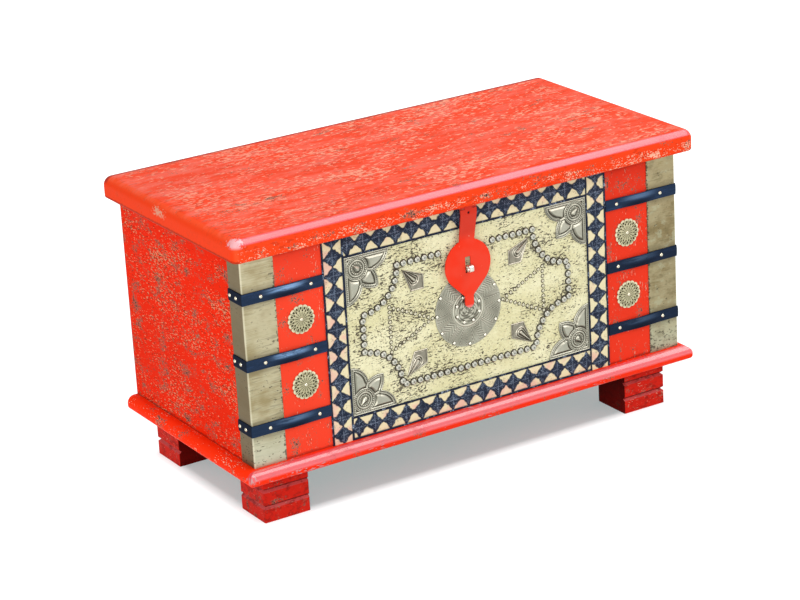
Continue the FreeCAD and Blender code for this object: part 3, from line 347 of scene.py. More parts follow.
def bare_wood_colour(finish, grain):
    """Long brown streaks along the grain."""
    streaks = finish.noise(along_grain(grain, 220.0, 14.0), 4, 0.6, 0.4)
    return finish.mix(streaks.rise(0.35, 0.65), BARE_WOOD_DARK, BARE_WOOD)


print("inside from y", round(INNER_LOW.y, 4), "to", round(INNER_HIGH.y, 4))

# %% [markdown]
# ## Red paint
# The boards were painted red over a pale ground and rubbed back by hand. Three layers make that: a red that
# drifts a little in depth, short pale flecks that follow the grain, and fewer grey-brown chips that go down
# to the wood. One function gives every board its own grain direction and its own amount of wear.

# %% Red paint
RED = (0.84, 0.030, 0.006)
FLECK, FLECK_SHADE = (0.86, 0.60, 0.42), (0.15, 0.022, 0.010)
CHIP, CHIP_CORE = (0.26, 0.21, 0.145), (0.055, 0.045, 0.038)
FLECK_EDGE, CHIP_EDGE, CORE_EDGE = (0.565, 0.61), (0.60, 0.70), (0.73, 0.77)
PAINT_RELIEF = 0.00030
COAT_ROUGHNESS, COAT_IOR = 0.17, 2.1


def red_paint(name, grain, red=RED, fleck=FLECK, fleck_size=(1.8, 5.0), spread=(58.0, 0.6, 2.2), flecks=0.0,
              chips=0.0, veil=1.0, shade=0.0, gloss=0.05, inside=False, extra=None, shine=None, tint=None):
    """Rubbed red paint on a board with its grain along one axis.

    fleck_size is in mm across and along the grain. spread is how many clusters of flecks a metre holds, how
    strongly they gather, and how long they are. flecks and chips raise or lower how much of each shows, veil
    is the flecks' strength, and shade the strength of the dark rim under each fleck. extra(finish, mask)
    changes the fleck mask in places, shine(finish) is a mask of edges rubbed to a gloss, and
    tint(finish, colour) changes the colour last.
    """
    finish = Finish(name)
    grains = along_grain(grain, 1000.0 / fleck_size[0], fleck_size[1] / fleck_size[0])
    rim_step = tuple(0.0 if axis == grain else 0.35 * fleck_size[0] * 0.001 for axis in "xyz")
    drift = finish.noise(along_grain(grain, 9.0, 2.0), 3)
    clusters = finish.noise(along_grain(grain, spread[0], spread[2]), 3, 0.6)
    gathered = (clusters - 0.5) * spread[1] + (drift - 0.5) * 0.16 + flecks
    fleck_mask = (finish.noise(grains, 2, 0.6) + gathered).rise(*FLECK_EDGE)
    if extra is not None:
        fleck_mask = extra(finish, fleck_mask)
    beside = finish.noise(grains, 2, 0.6, shift=rim_step)
    rim_mask = (beside + gathered).rise(*FLECK_EDGE) * (1.0 - fleck_mask)
    patches = finish.noise(along_grain(grain, 50.0, 1.8), 3, 0.6)
    grit = finish.noise(420, 2, 0.6)
    chip_mask = (patches + (grit - 0.5) * 0.6 + chips).rise(*CHIP_EDGE)
    core_mask = (patches + (grit - 0.5) + chips).rise(*CORE_EDGE)
    colour = finish.mix(drift.rise(0.35, 0.65), red, tuple(1.08 * part for part in red))
    colour = finish.coats(colour, (rim_mask * shade, FLECK_SHADE), (fleck_mask * veil, fleck),
                          (chip_mask * 0.62, CHIP), (core_mask, CHIP_CORE))
    worn = fleck_mask.over(chip_mask)
    roughness = 0.30 + worn * 0.35 + (drift - 0.5) * 0.12
    if tint is not None:
        colour = tint(finish, colour)
    if inside:
        within = inside_box(finish)
        colour = finish.mix(within, colour, bare_wood_colour(finish, grain))
        roughness = roughness * (1.0 - within) + within * 0.62
    if shine is not None:
        finish.set(coat_weight=shine(finish) * (1.0 - worn * 0.5), coat_roughness=COAT_ROUGHNESS,
                   coat_ior=COAT_IOR)
    brush = finish.noise(along_grain(grain, 260.0, 9.0))
    height = 0.55 + brush * 0.2 - worn * 0.5
    return finish.set(base_color=colour, roughness=roughness, specular_ior_level=gloss,
                      normal=finish.bump(height, PAINT_RELIEF))


back_paint = red_paint("back_red_paint", "x", flecks=-0.03, chips=-0.03, veil=0.6, inside=True)
print("red paint, first on the back board")

# %% [markdown]
# ## Lid
# Hands and dust have worn the lid most, so its flecks are the largest. They stop at the rounded ends and at
# the front edge, which was rubbed to a gloss and carries a painted pink highlight line. A painted highlight
# lies on the shoulders of the ends and on the front left corner, painted shade lies along the back and under
# the ends, and the end faces are painted a deeper red. All places are distances from the lid's own edges, so
# the wear stays on them if the lid changes.

# %% Lid paint
LID_RED, LID_FLECK = (0.86, 0.055, 0.012), (0.97, 0.60, 0.42)
LID_RUB, LID_FRONT_HIGHLIGHT = (0.94, 0.54, 0.45), (0.82, 0.085, 0.15)
LID_SHOULDER_HIGHLIGHT, LID_END_SHADING = (0.95, 0.095, 0.026), (0.90, 0.036, 0.003)
LID_END_LOWER_SHADE, LID_EDGE_SHADE = (0.17, 0.012, 0.008), (0.13, 0.012, 0.026)
LID_CORNER_HIGHLIGHT, LID_SCRAPE = (0.82, 0.50, 0.54), (0.66, 0.50, 0.34)
LID_LOW, LID_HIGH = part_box("lid_board")
SCRAPE_MIDDLE, SCRAPE_HALF = (0.018, 0.012), (0.017, 0.006)


def on_lid(finish):
    """How far a point lies behind the lid's front edge, under its top and inside its nearer end."""
    x, y, z = finish.axes()
    return y - LID_LOW.y, LID_HIGH.z - z, LID_HIGH.x - abs(x)


def lid_flecks(finish, mask):
    """None on the rounded ends and the bright front edge, and many on the lower half of the front edge."""
    behind, down, inward = on_lid(finish)
    clusters = finish.noise((38, 38, 90), 3, 0.6)
    small = finish.noise((330, 330, 620), 2, 0.6)
    top = inward.rise(0.004, 0.045) * behind.rise(0.011, 0.016)
    fewer_at_left = 0.74 + finish.axes()[0].rise(-0.32, 0.02) * 0.26
    low = down.rise(0.0145, 0.019) * behind.rise(0.0035, 0.0015)
    low_flecks = (small + (clusters - 0.5) * 0.7).rise(0.595, 0.64) * low * 1.35
    return (mask * top * fewer_at_left).over(low_flecks)


def lid_front_shine(finish):
    """The rounded front edge of the lid, a little brighter along its middle."""
    behind, down, _ = on_lid(finish)
    x = finish.axes()[0]
    middle = x.rise(-0.30, 0.05) * x.rise(0.42, 0.10)
    return behind.rise(0.0105, 0.0085) * down.rise(0.0095, 0.0075) * (0.56 + middle * 0.08)


def lid_wear_and_painted_light(finish, colour):
    """Pink rub on top, painted highlights on the front edge, end shoulders and front left corner,
    painted shade on and under the ends and at the back, and a scrape.
    """
    x, y, z = finish.axes()
    behind, down, inward = on_lid(finish)
    looks_x, _, looks_z = finish.facing()
    rub = finish.noise((16, 52, 52), 4, 0.65)
    grit = finish.noise(260, 3, 0.6)
    from_left = x + LID_HIGH.x
    # painted shade along the lower edge of the rounded ends
    shade_under_ends = (z - LID_LOW.z + (grit - 0.5) * 0.006).rise(0.0065, 0.0030) * inward.rise(0.012, 0.006)
    # rim: a painted shade along the back edge and the right end
    rim = (LID_HIGH.y - y).rise(0.0205, 0.0140).over((LID_HIGH.x - x).rise(0.008, 0.003))
    # corner: a painted highlight on the front left corner
    corner = (from_left + behind + down + (grit - 0.5) * 0.05).rise(0.0275, 0.023)
    off_scrape = [abs(place - middle) / half for place, middle, half
                  in zip((y, down), SCRAPE_MIDDLE, SCRAPE_HALF)]
    off_scrape = off_scrape[0].over(off_scrape[1])
    scrape = (off_scrape + (grit - 0.5) * 4.5).rise(0.9, 0.5) * from_left.rise(0.012, 0.006)
    return finish.coats(
        colour,
        (rub.rise(0.40, 0.66) * looks_z.rise(0.5, 0.9) * 0.16, LID_RUB),
        # painted highlight: the front edge is tinted pink-violet over its real coat gloss
        (lid_front_shine(finish), LID_FRONT_HIGHLIGHT),
        # painted highlight on the rounded shoulders of the ends
        (abs(looks_x).rise(0.10, 0.45) * 0.6, LID_SHOULDER_HIGHLIGHT),
        # painted shading: the end faces are a deeper red
        (abs(looks_x).rise(0.6, 0.95) * 0.55, LID_END_SHADING),
        (shade_under_ends * 0.55, LID_END_LOWER_SHADE),
        (rim * down.rise(0.012, 0.005) * 0.62, LID_EDGE_SHADE),
        (corner * down.rise(0.014, 0.008) * 0.75, LID_CORNER_HIGHLIGHT),
        (scrape * off_scrape.rise(1.6, 1.1) * 0.6, LID_SCRAPE))


lid_paint = red_paint("lid_red_paint", "x", red=LID_RED, fleck=LID_FLECK, fleck_size=(4.2, 11.0),
                      spread=(30.0, 0.46, 2.8), flecks=-0.006, chips=-0.04, veil=0.53, shade=0.28, gloss=0.01,
                      extra=lid_flecks, shine=lid_front_shine, tint=lid_wear_and_painted_light)
print("lid paint; lid from y", round(LID_LOW.y, 4), "to", round(LID_HIGH.y, 4))

# %% [markdown]
# ## Base and feet
# The nose of the base is rubbed most: it is glossy, with a painted pink highlight, scuffs along its top and a
# bruise at the front left corner. The feet are a deeper red with dark grime. A painted highlight lies on
# their ledges that look up, and painted shade darkens their undersides, their tops under the base and the
# faces under the chest, which are almost black. The way that a face looks tells a ledge from an underside,
# so no mask has to be painted by hand.

# %% Base and foot paint
BASE_SIDE_RED, FOOT_RED = (1.0, 0.033, 0.004), (0.56, 0.018, 0.010)
SCUFF, BASE_NOSE_HIGHLIGHT, BASE_BRUISE = (0.56, 0.36, 0.38), (0.75, 0.085, 0.110), (0.46, 0.34, 0.34)
FOOT_LEDGE_HIGHLIGHT, FOOT_UNDERSIDE_SHADE, FOOT_GRIME = (0.62, 0.20, 0.21), (0.09, 0.006, 0.006), (0.15, 0.012, 0.010)
FOOT_INNER_SHADE, FOOT_TOP_SHADE = (0.050, 0.002, 0.002), (0.16, 0.008, 0.008)
BASE_LOW, BASE_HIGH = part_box("base_front_rail")


def on_base(finish):
    """How far a point lies behind the front of the base and under its top."""
    _, y, z = finish.axes()
    return y - BASE_LOW.y, BASE_HIGH.z - z


def base_flecks(finish, mask):
    """Adds scuffs along the top of the nose."""
    scuffs = finish.noise((34, 34, 380), 3, 0.6)
    return mask.over(scuffs.rise(0.645, 0.72) * on_base(finish)[1].rise(0.009, 0.003))


def base_front_shine(finish):
    """The rounded nose of the base."""
    behind, down = on_base(finish)
    return behind.rise(0.0135, 0.0085) * down.rise(0.014, 0.009) * 0.84


def base_wear_and_highlight(finish, colour):
    """A painted pink highlight on the glossy nose, and grey wood where its corner has been knocked."""
    behind, down = on_base(finish)
    grit = finish.noise((240, 240, 120), 3, 0.6)
    from_corner = finish.axes()[0] + BASE_HIGH.x + behind
    knocked = ((grit - 0.5) * 0.07 - from_corner).rise(-0.007, -0.003) * down.rise(0.018, 0.012)
    # painted highlight: the glossy nose is tinted pink
    return finish.coats(colour, (base_front_shine(finish) * 0.95, BASE_NOSE_HIGHLIGHT), (knocked * 0.65, BASE_BRUISE))


def foot_shade(finish, colour):
    """Painted highlight on upward ledges, painted shade on undersides, inner faces and the top, and grime."""
    x, y, z = finish.axes()
    looks_x, looks_y, looks_z = finish.facing()
    grime = finish.noise((90, 90, 120), 4, 0.65)
    inner = (x * looks_x).rise(-0.06, -0.2).over((y * looks_y).rise(-0.03, -0.1))
    return finish.coats(
        colour,
        # painted highlight on the ledges that look up
        (looks_z.rise(0.25, 0.65) * 0.34, FOOT_LEDGE_HIGHLIGHT),
        # painted shade on the undersides
        (looks_z.rise(-0.25, -0.65) * 0.7, FOOT_UNDERSIDE_SHADE),
        (grime.rise(0.48, 0.66) * 0.58, FOOT_GRIME),
        # painted shade on the faces under the chest and on the top under the base
        (inner * (0.86 + z.rise(0.0, 0.06) * 0.12), FOOT_INNER_SHADE),
        (z.rise(0.052, 0.076) * 0.55, FOOT_TOP_SHADE))


base_paint = red_paint("base_red_paint", "x", fleck=SCUFF, fleck_size=(2.2, 9.0), flecks=-0.12, chips=-0.02,
                       veil=0.75, shade=0.4, gloss=0.03, extra=base_flecks, shine=base_front_shine,
                       tint=base_wear_and_highlight)
base_side_paint = red_paint("base_side_red_paint", "y", red=BASE_SIDE_RED, flecks=-0.09, chips=0.005,
                            veil=0.7, shade=0.4, gloss=0.008, tint=base_wear_and_highlight)
foot_paint = red_paint("foot_red_paint", "x", red=FOOT_RED, flecks=-0.13, veil=0.5, shade=0.4, gloss=0.01,
                       tint=foot_shade)
print("base and foot paint; top of the base at z", round(BASE_HIGH.z, 4))

# %% [markdown]
# ## Sides and front boards
# The sides are flecked all over. The narrow boards of the front, between the brass and the carving, kept most
# of their paint. Their joints are dark over the base and at the back edge, and a painted shade lies under the
# lid.

# %% Board paint
SIDE_RED, SIDE_FLECK = (0.82, 0.021, 0.002), (0.70, 0.43, 0.24)
FRONT_LEFT_RED, FRONT_RIGHT_RED = (0.85, 0.056, 0.023), (0.74, 0.036, 0.013)
JOINT_GRIME_AND_SHADE = (0.16, 0.012, 0.008)
BOX_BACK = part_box("back_board")[1].y


def board_joints_and_shade(finish, colour):
    """Dark joints of a board over the base and at the back edge, and painted shade under the lid."""
    _, y, z = finish.axes()
    uneven = (finish.noise(60, 3, 0.6) - 0.5) * 0.008
    # painted shade under the lid; the joints over the base and at the back are dark
    shade_under_lid = (LID_LOW.z - z - uneven).rise(0.016, 0.003)
    over_base = (z + uneven - BASE_HIGH.z).rise(0.005, 0.0015)
    at_back = (BOX_BACK - y - uneven * 0.3).rise(0.004, 0.001)
    return finish.mix(shade_under_lid.over(over_base).over(at_back) * 0.55, colour, JOINT_GRIME_AND_SHADE)


side_paint = red_paint("side_red_paint", "y", red=SIDE_RED, fleck=SIDE_FLECK, fleck_size=(2.2, 6.2),
                       spread=(26.0, 0.44, 3.4), flecks=-0.036, chips=0.024, veil=0.64, shade=0.80,
                       gloss=0.005, inside=True, tint=board_joints_and_shade)
front_paint = red_paint("front_red_paint", "z", red=FRONT_LEFT_RED, fleck_size=(1.9, 6.0), flecks=-0.13,
                        chips=0.012, veil=0.55, shade=0.45, inside=True, tint=board_joints_and_shade)
front_right_paint = red_paint("front_right_red_paint", "z", red=FRONT_RIGHT_RED, fleck_size=(1.9, 7.0),
                              flecks=-0.14, chips=0.010, veil=0.5, shade=0.45, inside=True, tint=board_joints_and_shade)
print("side and front board paint; back of the box at y", round(BOX_BACK, 4))

# %% [markdown]
# ## Cream panel
# The field between the carved bars has a thick cream paint that was scored with short level scratches and
# rubbed with dark wax. The wax stays in the scratches, and it is densest along the rows of studs and small
# nails.

# %% Cream panel
CREAM, CREAM_PALE = (0.72, 0.685, 0.40), (0.82, 0.79, 0.515)
CREAM_BROWN, CREAM_LIGHT, CREAM_STAIN = (0.47, 0.40, 0.21), (0.92, 0.89, 0.66), (0.55, 0.44, 0.22)
WAX = (0.055, 0.042, 0.032)
FRONT_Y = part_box("front_panel")[0].y
PLATE_LOW, PLATE_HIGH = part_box("round_plate")
PLATE_X, PLATE_Z = (PLATE_LOW.x + PLATE_HIGH.x) / 2, (PLATE_LOW.z + PLATE_HIGH.z) / 2
PLATE_RADIUS = (PLATE_HIGH.x - PLATE_LOW.x) / 2
BOW_TIE_COLUMN, BOW_TIE_HALF_HEIGHT = 0.135, 0.035
STUD_COLUMN, STUD_ROWS = 0.181, (0.1605, 0.347)
STUD_MIDDLE, STUD_ROW = (STUD_ROWS[1] + STUD_ROWS[0]) / 2, (STUD_ROWS[1] - STUD_ROWS[0]) / 2
STUD_CURVE = (0.062, 0.0638)
HAIR = 0.001


def near_bow_tie(finish):
    """1 along the two slanting rows of small nails on each side of the round plate, fading over 14 mm."""
    x, _, z = finish.axes()
    out = abs(x - PLATE_X)
    row = (out - PLATE_RADIUS) * (BOW_TIE_HALF_HEIGHT / (BOW_TIE_COLUMN - PLATE_RADIUS))
    gap = abs(abs(z - PLATE_Z) - row)
    return gap.rise(0.014, 0.0) * out.rise(BOW_TIE_COLUMN + 0.015, BOW_TIE_COLUMN)


def near_studs(finish):
    """1 along the outline of large studs, 0 from 13 mm off: two rows, two columns, four hollow curves."""
    x, _, z = finish.axes()
    out, up = abs(x - PLATE_X), abs(z - STUD_MIDDLE)
    curve_x, curve_z = (STUD_COLUMN - out) / STUD_CURVE[0], (STUD_ROW - up) / STUD_CURVE[1]
    curve = abs((curve_x * curve_x + curve_z * curve_z).root() - 1.0)
    row = abs(up - STUD_ROW) + out.rise(STUD_COLUMN - STUD_CURVE[0], STUD_COLUMN)
    column = abs(out - STUD_COLUMN) + up.rise(STUD_ROW - STUD_CURVE[1], STUD_ROW)
    outside = (out - STUD_COLUMN).over(up - STUD_ROW).rise(-HAIR, HAIR)
    return (curve * STUD_CURVE[0] + outside).under(row).under(column).rise(0.013, 0.003)


def cream_paint():
    """Cream with level wax-filled scratches and pits, densest round the studs and nails and on the left."""
    finish = Finish("cream_panel_paint")
    drift = finish.noise((11, 11, 16), 3)
    mottle = finish.noise((300, 300, 420), 3, 0.65)
    dashes = finish.noise((130, 130, 430), 2, 0.55)
    fine_dashes = finish.noise((340, 340, 900))
    pits = finish.noise((260, 260, 300))
    clusters = finish.noise((19, 19, 30), 3, 0.6)
    dense = (clusters - 0.5) * 0.46 + (near_bow_tie(finish) + near_studs(finish)) * 0.06
    dense = dense + 0.010 - finish.axes()[0].rise(-0.06, 0.08) * 0.024
    dash_mask = (dashes + dense).rise(0.625, 0.655)
    pit_mask = (pits + dense).rise(0.66, 0.69)
    scratches = (fine_dashes + dense * 0.6).rise(0.62, 0.67) * 0.55
    marks = dash_mask.over(pit_mask).over(scratches)
    stain = (clusters + (mottle - 0.5) * 0.6).rise(0.46, 0.72)
    colour = finish.coats(
        finish.mix(drift.rise(0.35, 0.65), CREAM, CREAM_PALE),
        (mottle.rise(0.47, 0.70) * 0.26, CREAM_BROWN),
        (mottle.rise(0.46, 0.32) * 0.30, CREAM_LIGHT),
        (stain * 0.08, CREAM_STAIN),
        (marks * 0.90, WAX),
        (inside_box(finish), bare_wood_colour(finish, "x")))
    height = 0.8 - marks * 0.8 + (mottle - 0.5) * 0.5
    return finish.set(base_color=colour, roughness=0.5 + marks * 0.2, specular_ior_level=0.12,
                      normal=finish.bump(height, 0.0006))


cream_panel_paint = cream_paint()
print("cream panel, front at y =", round(FRONT_Y, 4))

# %% [markdown]
# ## Brass corners
# Each corner is folded brass, brushed level, that has gone pale and dull. A painted shade lies beside the
# straps and on its side leaf, and a painted highlight along the fold, where it is also rubbed. It is greenish
# near the floor and browner on the right of the chest. Noise that is stretched level makes the brush lines,
# because it never repeats as a picture of brass would.

# %% Brass corners
BRASS_PALE, BRASS_DULL, BRASS_BROWN = (0.49, 0.437, 0.285), (0.31, 0.25, 0.13), (0.24, 0.175, 0.085)
BRASS_BURNT, BRASS_OLIVE, BRASS_STAIN = (0.17, 0.115, 0.045), (0.22, 0.17, 0.07), (0.10, 0.080, 0.030)
BRASS_BLOOM, BRASS_GREEN, BRASS_FOLD_HIGHLIGHT = (0.40, 0.40, 0.27), (0.56, 0.58, 0.45), (0.76, 0.72, 0.54)
BRASS_STREAK, BRASS_SIDE_SHADE, BRASS_STRAP_SHADE = (0.15, 0.130, 0.080), (0.120, 0.080, 0.028), (0.12, 0.105, 0.075)
PATINA = (0.052, 0.046, 0.034)
STRAP_LEVEL, STRAP_STEP, STRAP_HALF = 0.153, 0.100, 0.00875
RIGHT_OF_CHEST = (0.0, 0.1)


def above_strap(finish):
    """Height over the middle of the nearest strap, in half widths of a strap."""
    turn = (finish.axes()[2] - STRAP_LEVEL) / STRAP_STEP
    return (turn - round(turn)) * (STRAP_STEP / STRAP_HALF)


def brushed_brass():
    """Brass with fine level brush lines, brown clouds, painted shade beside the straps and on the side leaf,
    and a painted highlight along the fold.
    """
    finish = Finish("brushed_brass")
    x, y, z = finish.axes()
    low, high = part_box("brass_corner_left")
    behind = y - low.y
    lines = finish.noise((22, 22, 800), 2, 0.6)
    clouds = finish.noise((22, 22, 34), 4, 0.6)
    broad = finish.noise((9, 9, 13))
    specks = finish.noise((170, 170, 300), 3, 0.6)
    mottle = finish.noise((52, 52, 76), 4, 0.65)
    streaks = finish.noise((26, 26, 380), 3, 0.6)
    # painted shade beside each strap
    strap_shade = abs(above_strap(finish)).rise(2.3, 1.0)
    # painted highlight along the fold, where the brass is also rubbed
    fold = (abs(x) + low.x).rise(-0.0022, -0.0008) * behind.rise(0.003, 0.001)
    edge = (abs(x) + high.x).rise(0.0045, 0.001) * behind.rise(0.002, 0.001)
    # painted shade on the side leaf
    shaded_side_leaf = behind.rise(0.0015, 0.004)
    foot = z.rise(0.165, 0.105)
    right = x.rise(*RIGHT_OF_CHEST)
    marks = (specks + (clouds - 0.5) * 0.35 + foot * 0.09 + edge * 0.16).rise(0.66, 0.72)
    shade = (lines - 0.5) * 0.6 + clouds * 1.1 + broad * 0.7 - strap_shade * 0.12 + foot * 0.1
    burnt = (clouds * 0.9 + broad * 0.9 + (lines - 0.5) * 0.3).rise(0.78, 1.10)
    colour = finish.coats(
        finish.mix(shade.rise(0.60, 1.05), BRASS_DULL, BRASS_PALE),
        ((clouds * 0.6 + broad * 0.6).rise(0.66, 0.84) * 0.5, BRASS_BROWN),
        (right * burnt * 0.75, BRASS_BURNT),
        ((streaks + (clouds - 0.5) * 0.4).rise(0.58, 0.68) * 0.42, BRASS_STREAK),
        (foot * 0.60, BRASS_GREEN),
        (shaded_side_leaf * 0.90, BRASS_SIDE_SHADE),
        (right * 0.30, BRASS_OLIVE),
        (right * mottle.rise(0.50, 0.64) * 0.30, BRASS_STAIN),
        (right * mottle.rise(0.47, 0.36) * 0.45, BRASS_BLOOM),
        (strap_shade * 0.42, BRASS_STRAP_SHADE),
        (fold * 0.38, BRASS_FOLD_HIGHLIGHT),
        (marks * 0.7, PATINA))
    roughness = 0.44 + (lines - 0.5) * 0.2 + marks * 0.2
    return finish.set(base_color=colour, metallic=1.0, roughness=roughness,
                      normal=finish.bump(lines, 0.00012))


brass_finish = brushed_brass()
print("brass; straps every", STRAP_STEP, "m from z", STRAP_LEVEL)

# %% [markdown]
# ## Strap paint
# The straps are iron under dark blue paint. Where a strap bows out between its nails, its upper half shows
# the sky as a soft blue streak and its lower half is in shade. Bent round the corner it is in shade and
# almost black, and the lower two straps at the right are darker. The real streak is a reflection of a room
# that isn't here, so it is painted on, and the shade is painted too.

# %% Strap paint
NAVY, NAVY_RUBBED = (0.015, 0.030, 0.064), (0.03, 0.062, 0.15)
NAVY_SHADE, NAVY_SHEEN = (0.003, 0.006, 0.016), (0.22, 0.38, 0.64)
BOW_MIDDLE = 0.309


def navy_iron():
    """Dark blue paint on iron, with a painted sheen where the strap bows out, and painted shade under the
    bow, round the corner and on the lower straps at the right.
    """
    finish = Finish("navy_iron_paint")
    x, y, z = finish.axes()
    up = above_strap(finish)
    rub = finish.noise((30, 30, 240), 4, 0.65)
    broad = finish.noise((11, 11, 14))
    grit = finish.noise(500)
    front = (FRONT_Y - y).rise(0.0015, 0.0025)
    bowed = abs(abs(x) - BOW_MIDDLE).rise(0.042, 0.004) * front
    upper = up.rise(-0.15, 0.35) * up.rise(1.0, 0.75)
    streaks = (rub + (broad - 0.5) * 0.9 + (grit - 0.5) * 0.15).rise(0.30, 0.60)
    right = x.rise(*RIGHT_OF_CHEST)
    dull = right.over(z.rise(0.21, 0.17)) * 0.66
    # painted shade: the bent leg, and the lower two straps at the right
    dark = (1.0 - front).over(right * z.rise(0.345, 0.30) * 0.6)
    colour = finish.coats(
        finish.mix((rub + (grit - 0.5) * 0.3).rise(0.50, 0.75) * 0.5, NAVY, NAVY_RUBBED),
        # painted shade on the lower half of the bow
        (bowed * up.rise(0.0, -0.55) * 0.8, NAVY_SHADE),
        (bowed * upper * streaks * (1.0 - dull), NAVY_SHEEN),
        (dark * 0.85, NAVY_SHADE))
    roughness = 0.28 + (rub - 0.5) * 0.2 + (1.0 - front) * 0.4
    return finish.set(base_color=colour, roughness=roughness, specular_ior_level=0.045,
                      normal=finish.bump(rub + grit * 0.3, 0.0004))


strap_finish = navy_iron()
print("strap paint, brightest", BOW_MIDDLE, "m from the middle")

# %% [markdown]
# ## Worn metal
# Stamped plates and nails are bright on their ridges and dark in their hollows. Each mesh carries a number,
# hollow, for how deep a point lies, and the finish turns that number into patina. Dirt then lies exactly
# where the relief is deep. On the plates and rosettes the number also holds a painted highlight on slopes
# that look up and painted shade on slopes that look down, and on the studs painted shade on the dome's flank.
# Every kind of piece has its own metal.

# %% Worn metal
def patinated(name, bright, mid, roughness):
    """Metal that is bright where the attribute hollow is 0, dull at a half, and dark where it is 1."""
    finish = Finish(name)
    clouds = finish.noise(55, 3, 0.6)
    grit = finish.noise(900)
    depth = finish.attribute("hollow") + (grit - 0.5) * 0.22 + (clouds - 0.5) * 0.30
    dirt = depth.rise(0.52, 0.98)
    colour = finish.coats(finish.mix(depth.rise(0.02, 0.50), bright, mid), (dirt * 0.92, PATINA))
    roughness = roughness + dirt * 0.25 + (grit - 0.5) * 0.1
    return finish.set(base_color=colour, metallic=0.92, roughness=roughness)


plate_finish = patinated("stamped_plate_metal", (0.60, 0.575, 0.47), (0.34, 0.325, 0.255), 0.34)
corner_finish = patinated("corner_plate_metal", (0.50, 0.485, 0.395), (0.255, 0.245, 0.19), 0.34)
drop_finish = patinated("drop_plate_metal", (0.475, 0.442, 0.355), (0.262, 0.237, 0.184), 0.38)
rosette_finish = patinated("rosette_brass", (0.70, 0.65, 0.44), (0.38, 0.345, 0.205), 0.32)
stud_finish = patinated("stud_metal", (0.54, 0.53, 0.46), (0.19, 0.18, 0.145), 0.30)
nail_finish = patinated("nail_brass", (0.64, 0.60, 0.46), (0.38, 0.345, 0.24), 0.25)
bow_nail_finish = patinated("bow_tie_nail_brass", (0.58, 0.545, 0.41), (0.26, 0.23, 0.15), 0.30)
round_nail_finish = patinated("round_plate_nail_brass", (0.82, 0.79, 0.69), (0.46, 0.43, 0.33), 0.22)
print("eight worn metals for plates, rosettes, studs and nails")

# %% [markdown]
# ## From numbers to meshes
# Every new piece is a grid of points. A grid can be a relief over the front, rings round a centre, or a
# profile carried along a path. The helpers below number a grid's faces and put the points into a mesh in one
# go, with no loop over the points. Sizes are in millimetres until the mesh is made.

# %% Mesh helpers
MM = 0.001
CREASE = math.radians(40.0)
FRONT = FRONT_Y / MM


def box_mm(node):
    """The low and the high corner of a CAD node's box, in mm."""
    return [np.array(corner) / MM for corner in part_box(node)]


def grid_quads(rows, columns, wrap=False):
    """Corner numbers of a grid's quads, row by row; wrap joins the last column to the first."""
    numbers = np.arange(rows * columns).reshape(rows, columns)
    beside = np.roll(numbers, -1, axis=1)
    last = columns if wrap else columns - 1
    corners = (numbers[:-1, :last], beside[:-1, :last], beside[1:, :last], numbers[1:, :last])
    return np.stack(corners, axis=-1).reshape(-1, 4)


def tube_faces(rings, columns):
    """Quads between rings of points, and the two faces that close the first ring and the last."""
    first = np.arange(columns)
    return grid_quads(rings, columns, wrap=True), [first[::-1], first + (rings - 1) * columns]


def make_piece(name, points, quads, caps, finish, body, replaced=(), numbers=None, flip=False):
    """A mesh from points in mm, quads and closing faces; numbers are values that each point carries."""
    if flip:
        quads = quads[:, ::-1]
        caps = [cap[::-1] for cap in caps]
    mesh = bpy.data.meshes.new(name)
    corners = np.concatenate([quads.ravel(), *caps]).astype(np.int32)
    sizes = np.concatenate([np.full(len(quads), 4), [len(cap) for cap in caps]]).astype(np.int32)
    starts = np.concatenate([[0], np.cumsum(sizes)[:-1]]).astype(np.int32)
    mesh.vertices.add(len(points))
    mesh.vertices.foreach_set("co", (np.asarray(points) * MM).astype(np.float32).ravel())
    mesh.loops.add(len(corners))
    mesh.loops.foreach_set("vertex_index", corners)
    mesh.polygons.add(len(sizes))
    mesh.polygons.foreach_set("loop_start", starts)
    mesh.update(calc_edges=True)
    mesh.validate()
    mesh.polygons.foreach_set("use_smooth", np.ones(len(mesh.polygons), bool))
    mesh.set_sharp_from_angle(angle=CREASE)
    for key, values in (numbers or {}).items():
        data = mesh.attributes.new(key, "FLOAT", "POINT").data
        data.foreach_set("value", values.astype(np.float32).ravel())
    mesh.materials.append(finish)
    piece = add_object(name, mesh)
    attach(piece, body)
    if replaced:
        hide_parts(*replaced)
    return piece


print("mesh helpers ready; front of the panel at", round(FRONT, 2), "mm")

# %% [markdown]
# ## Relief
# Carving and stamping are heights over a flat ground. Small functions make them: a smooth step, a ridge along
# a line, the distance to the nearest of many even steps, the highest of several ridges, and a ripple that
# keeps hand work from looking machined.

# %% Relief helpers
LATTICE = 64


def smooth(value):
    """A smooth step from 0 to 1."""
    value = np.clip(value, 0.0, 1.0)
    return value * value * (3.0 - 2.0 * value)


def ridge(distance, width):
    """A rounded ridge, 1 on the line and 0 beyond width from it."""
    return smooth(1.0 - np.abs(distance) / width)


def off_step(value, step):
    """How far a value lies from the nearest whole multiple of step."""
    return np.abs(value / step - np.round(value / step)) * step


def ripple(first, second, size, seed):
    """Smooth random values from -1 to 1: a square lattice of random numbers, eased between its points."""
    lattice = np.random.default_rng(seed).uniform(-1.0, 1.0, (LATTICE, LATTICE))
    row, column = np.floor(first / size).astype(int), np.floor(second / size).astype(int)
    down, across = smooth(first / size - row), smooth(second / size - column)
    rows, columns = [(low % LATTICE, (low + 1) % LATTICE) for low in (row, column)]
    near, far = [lattice[line, columns[0]] * (1 - across) + lattice[line, columns[1]] * across
                 for line in rows]
    return near * (1 - down) + far * down


def highest(*heights):
    """The largest of several heights, point by point."""
    return np.maximum.reduce(heights)


print("relief helpers ready")

